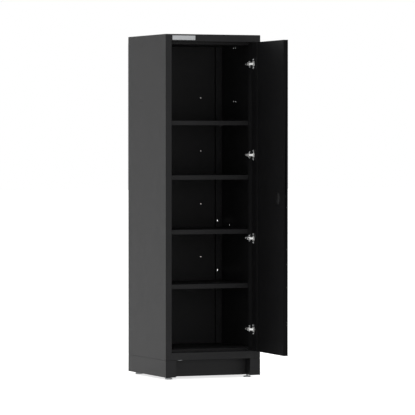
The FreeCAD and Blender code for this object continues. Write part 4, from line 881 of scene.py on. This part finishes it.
class LOCKER_OT_lock(bpy.types.Operator):
    """Makes the lock's cover, dish, turn handle, key plug and strike, and the shoe of its bolt"""

    bl_idname = "locker.lock"
    bl_label = "Lock"

    def execute(self, context):
        self.cover()
        self.dish()
        self.handle()
        self.plug()
        self.strike()
        self.shoe()
        return {"FINISHED"}

    def cover(self):
        """A domed cover with a flat rim and three screws."""
        low, high = extent("lock_cover", DOOR)
        radius, rise = (high.x - low.x) / 2 / MM, (high.y - low.y) / MM
        seat = (low + high) / 2
        place = DOOR @ facing((seat.x, low.y, seat.z), BACK)
        brow = radius - 5.5
        profile = [(0, 0), (radius - 0.3, 0), (radius, 0.5), (radius - 0.5, 1.6), (brow + 0.4, 2)]
        profile += arc((0, 2), (brow, rise - 2), 10, 80, 10) + [(0, rise)]
        black = SLOTS["lock_cover"]
        piece("domed_cover", placed(turned(profile, 64), [place]), black, "door", ["lock_cover"])
        screws = []
        for x, y in arc((0, 0), (radius - 2.9, radius - 2.9), 90, 330, 2):
            screws.append(shifted(screw(1.9, 1.2), x, y, 1.6))
        piece("cover_screws", placed(merged(screws), [place]), black, "door")

    def dish(self):
        """The pressed dish that the handle lies in, with a rolled flange."""
        low, high = extent("lock_dish", DOOR)
        face = extent("door_skin", DOOR)[0].y
        flange, depth = (face - low.y) / MM, (high.y - face) / MM
        radius = (high.x - low.x) / 2 / MM
        seat = (low + high) / 2
        bore, wall, hole = radius - 5, 1.5, 6
        bottom = wall - depth
        profile = [(hole, -depth), (bore - 2, -depth), (bore, 2 - depth), (bore, 0), (radius, 0)]
        profile += [(radius, flange * 0.5), (radius - 1.2, flange), (bore + 0.6, flange)]
        profile += [(bore - wall, flange - 1.2), (bore - wall, 3 - depth), (bore - 3.3, bottom)]
        # A low ring round the handle's hub, then the hole of the spindle.
        profile += [(15.5, bottom), (15.2, bottom + 0.4), (14, bottom + 0.4), (13.7, bottom)]
        profile += [(hole, bottom), (hole, -depth)]
        place = DOOR @ facing((seat.x, face, seat.z), FRONT)
        whole = placed(turned(profile, 64), [place])
        piece("rolled_dish", whole, SLOTS["lock_dish"], "door", ["lock_dish"])

    def handle(self):
        """A waisted bar with a raised hub that carries the key plug."""
        low, high = extent("turn_handle", DOOR)
        seat = middle("key_plug", DOOR)
        length, reach = (high.z - low.z) / MM, (high.y - low.y) / MM
        bar = stadium(length, 15, 1.4, 12)
        crest = [(x * 0.7, y * 0.94) for x, y in bar]
        hub, bore, spindle = 13, PLUG_RADIUS + PLUG_PLAY, 5
        disc = [(0, -10.4), (hub, -10.4), (hub, -1.2), (hub - 0.8, -0.3), (hub - 2.5, 0), (0, 0)]
        socket = [(0, -6.6), (bore, -6.6), (bore, 1), (0, 1)]
        parts = [prism(bar, -8, -1), prism(crest, -1.2, -0.3), turned(disc, 40)]
        parts = [carved(part, turned(socket, 40)) for part in parts]
        parts.append(turned([(0, -reach), (spindle, -reach), (spindle, -8), (0, -8)], 24))
        place = DOOR @ facing((seat.x, low.y, seat.z), FRONT)
        whole = placed(merged(parts), [place])
        piece("waisted_handle", whole, SLOTS["turn_handle"], "lock_handle", ["turn_handle"], edge=0.5)

    def plug(self):
        """The key plug, with its keyway and a turned rim."""
        low, high = extent("key_plug", DOOR)
        seat = middle("key_plug", DOOR)
        radius, length = PLUG_RADIUS, (high.y - low.y) / MM
        profile = [(0, -length), (radius, -length), (radius, -0.5), (radius - 0.4, 0), (4.6, 0)]
        profile += [(4.3, -0.35), (0, -0.35)]
        # The keyway is a slit with one ward.
        slit = [(-0.8, -3.5), (0.8, -3.5), (0.8, -2.2), (1.7, -2.2), (1.7, -0.9), (0.8, -0.9)]
        keyway = prism(slit + [(0.8, 3.5), (-0.8, 3.5)], -4.4, 1)
        place = DOOR @ facing((seat.x, low.y, seat.z), FRONT)
        whole = placed(carved(turned(profile, 40), keyway), [place])
        piece("slotted_plug", whole, SLOTS["key_plug"], "lock_key", ["key_plug"], edge=0.12)

    def strike(self):
        """The strike on the left reveal, with a slot for the side bolt and two countersunk screws."""
        low, high = extent("strike_plate")
        sheet, wide, tall = (high - low) / MM
        seat = (low + high) / 2
        bolt = middle("side_bolt", DOOR)
        # Where the bolt of the shut door goes in, from the middle of the plate.
        x, y = (HINGE_LINE.y + bolt.y - seat.y) / MM, (bolt.z - seat.z) / MM
        plate = prism(rounded(rectangle(-wide / 2, -tall / 2, wide / 2, tall / 2), 3), 0, sheet)
        plate = carved(plate, prism(rounded(rectangle(x - 3.6, y - 7.5, x + 3.6, y + 7.5), 1), -1, 3))
        head = [(0, -0.5), (3.2, -0.5), (3.2, -0.1), (3, 0), (0, 0)]
        parts = [plate]
        for level in (6 - tall / 2, tall / 2 - 6):
            part = carved(turned(head, 24), prism(cross(3.8, 1.1), -0.35, 1))
            parts.append(shifted(part, 0, level, sheet + 0.05))
        whole = placed(merged(parts), [facing((low.x, seat.y, seat.z), RIGHT)])
        piece("screwed_strike", whole, SLOTS["strike_plate"], "carcass", ["strike_plate"], edge=0.2)

    def shoe(self):
        """A black shoe over the end of the side bolt, so that it slides quietly."""
        low, high = extent("side_bolt", DOOR)
        seat, skin = (low + high) / 2, 0.4
        thick, tall = (high.y - low.y) / 2 / MM + skin, (high.z - low.z) / 2 / MM + skin
        cap = prism(rounded(rectangle(-thick, -tall, thick, tall), 1.2), -9, 0.6)
        core = prism(rectangle(skin - thick, skin - tall, thick - skin, tall - skin), -10, 0)
        place = DOOR @ facing((low.x, seat.y, seat.z), LEFT)
        whole = placed(carved(cap, core), [place])
        piece("bolt_shoe", whole, "black_moulding", "shoot_bolt", edge=0.2)


class LOCKER_OT_fixings(bpy.types.Operator):
    """Makes the small parts: blind rivets, rear sealant, rubber buffers and the kick panel's clip"""

    bl_idname = "locker.fixings"
    bl_label = "Fixings"

    def execute(self, context):
        self.rivets()
        self.sealant()
        self.buffers()
        self.clip()
        return {"FINISHED"}

    def rivets(self):
        """Blind rivets down both edges of the back, with the stubs of their cores."""
        low, high = extent("back_rivets")
        face = extent("back_panel")[1].y
        head, radius = (high.y - face) / MM, 3.6
        profile = [(0, -0.5), (radius, -0.5), (radius, 0.2), (radius * 0.9, head * 0.5)]
        profile += [(radius * 0.65, head * 0.85), (1.4, head), (1.1, head * 0.6), (0, head * 0.55)]
        rows = levels("back_rivets")
        columns = (low.x + radius * MM, high.x - radius * MM)
        places = [facing((x, face, row), BACK) for x in columns for row in rows]
        whole = placed(turned(profile, 20), places)
        piece("blind_rivets", whole, SLOTS["back_rivets"], "carcass", ["back_rivets"])

    def sealant(self):
        """A bead of black sealant in the seam between the back and the rear plinth."""
        sheet, plinth, floor = extent("back_panel")[0], extent("plinth_rear")[1], extent("floor_pan")[1]
        tall, deep, reach = (sheet.z - plinth.z) / MM, (sheet.y - floor.y) / MM + 0.5, floor.x / MM
        # It laps over the edges of both sheets, so that no light comes through the seam.
        bead = prism(rounded(rectangle(0.02, -0.25, deep, tall + 0.2), 0.3), -reach, reach)
        whole = placed(bead, [facing((0, floor.y, plinth.z), RIGHT)])
        piece("seam_sealant", whole, "black_moulding", "carcass")

    def buffers(self):
        """Soft buffers that the door shuts against, each with a foot flange and a grooved nose."""
        rows = levels("door_buffers")
        low, high = extent("door_buffers", level=rows[0])
        reach, wide, tall = (high - low) / MM
        w, h = wide / 2, tall / 2
        nose = prism(rounded(rectangle(1 - w, 1 - h, w - 1, h - 1), 3), 1, reach)
        cuts = [rectangle(-w, y - 0.6, w, y + 0.6) for y in (-4, 0, 4)]
        nose = carved(nose, merged([prism(cut, reach - 0.9, reach + 1) for cut in cuts]))
        buffer = merged([prism(rounded(rectangle(-w, -h, w, h), 3), 0, 1.6), nose])
        places = [facing((low.x, (low.y + high.y) / 2, row), RIGHT) for row in rows]
        whole = placed(buffer, places)
        piece("soft_buffers", whole, SLOTS["door_buffers"], "carcass", ["door_buffers"], edge=0.3)

    def clip(self):
        """The spring clip hooked over the top of the kick panel, with a short turned lip."""
        low, high = extent("kick_clip")
        seat = (low + high) / 2
        face = extent("kick_panel")[0].y
        wide, h = (high.x - low.x) / 2 / MM, (high.z - low.z) / 2 / MM
        back, front = (face - high.y) / MM, (face - low.y) / MM
        # Drawn from the side: X off the panel, Y up.
        outer = [(back, -h), (back, h - 0.6), (back + 0.6, h), (front - 0.5, h), (front, h - 0.5)]
        outer += [(front - 0.2, h - 1.6)]
        inner = [(front - 0.5, h - 1.6), (front - 0.4, h - 0.6), (front - 0.7, h - 0.35)]
        inner += [(back + 0.7, h - 0.35), (back + 0.35, h - 0.7), (back + 0.35, -h)]
        strip = prism(outer + inner, -wide, wide)
        strip.transform(Matrix.Rotation(-math.pi / 2, 4, "Y"))
        whole = placed(strip, [facing((seat.x, face, seat.z), FRONT)])
        piece("spring_clip", whole, SLOTS["kick_clip"], "carcass", ["kick_clip"])


# ---------------------------------------------------------------- panel and registration

STEPS = ("stage", "sheets", "name_plate", "feet", "hinges", "lock", "fixings")


class LOCKER_PT_panel(bpy.types.Panel):
    """Lists the steps that dress the locker once, with its sizes, colours and studio"""

    bl_idname = "LOCKER_PT_panel"
    bl_label = "Side Locker"
    bl_space_type = "VIEW_3D"
    bl_region_type = "UI"
    bl_category = "Locker"

    def draw(self, context):
        for step in STEPS:
            self.layout.operator(f"locker.{step}")
        scene = context.scene
        for group in (scene.locker_sizes, scene.locker_colours, scene.locker_studio):
            for name in group.__annotations__:
                self.layout.prop(group, name)


CLASSES = (
    LOCKER_PG_sizes,
    LOCKER_PG_colours,
    LOCKER_PG_studio,
    LOCKER_OT_stage,
    LOCKER_OT_sheets,
    LOCKER_OT_name_plate,
    LOCKER_OT_feet,
    LOCKER_OT_hinges,
    LOCKER_OT_lock,
    LOCKER_OT_fixings,
    LOCKER_PT_panel,
)


def register():
    for item in CLASSES:
        bpy.utils.register_class(item)
    bpy.types.Scene.locker_sizes = bpy.props.PointerProperty(type=LOCKER_PG_sizes)
    bpy.types.Scene.locker_colours = bpy.props.PointerProperty(type=LOCKER_PG_colours)
    bpy.types.Scene.locker_studio = bpy.props.PointerProperty(type=LOCKER_PG_studio)


def unregister():
    del bpy.types.Scene.locker_studio
    del bpy.types.Scene.locker_colours
    del bpy.types.Scene.locker_sizes
    for item in reversed(CLASSES):
        bpy.utils.unregister_class(item)


def main():
    """Dresses the frame step by step."""
    register()
    for step in STEPS:
        getattr(bpy.ops.locker, step)()


if __name__ == "__main__":
    main()
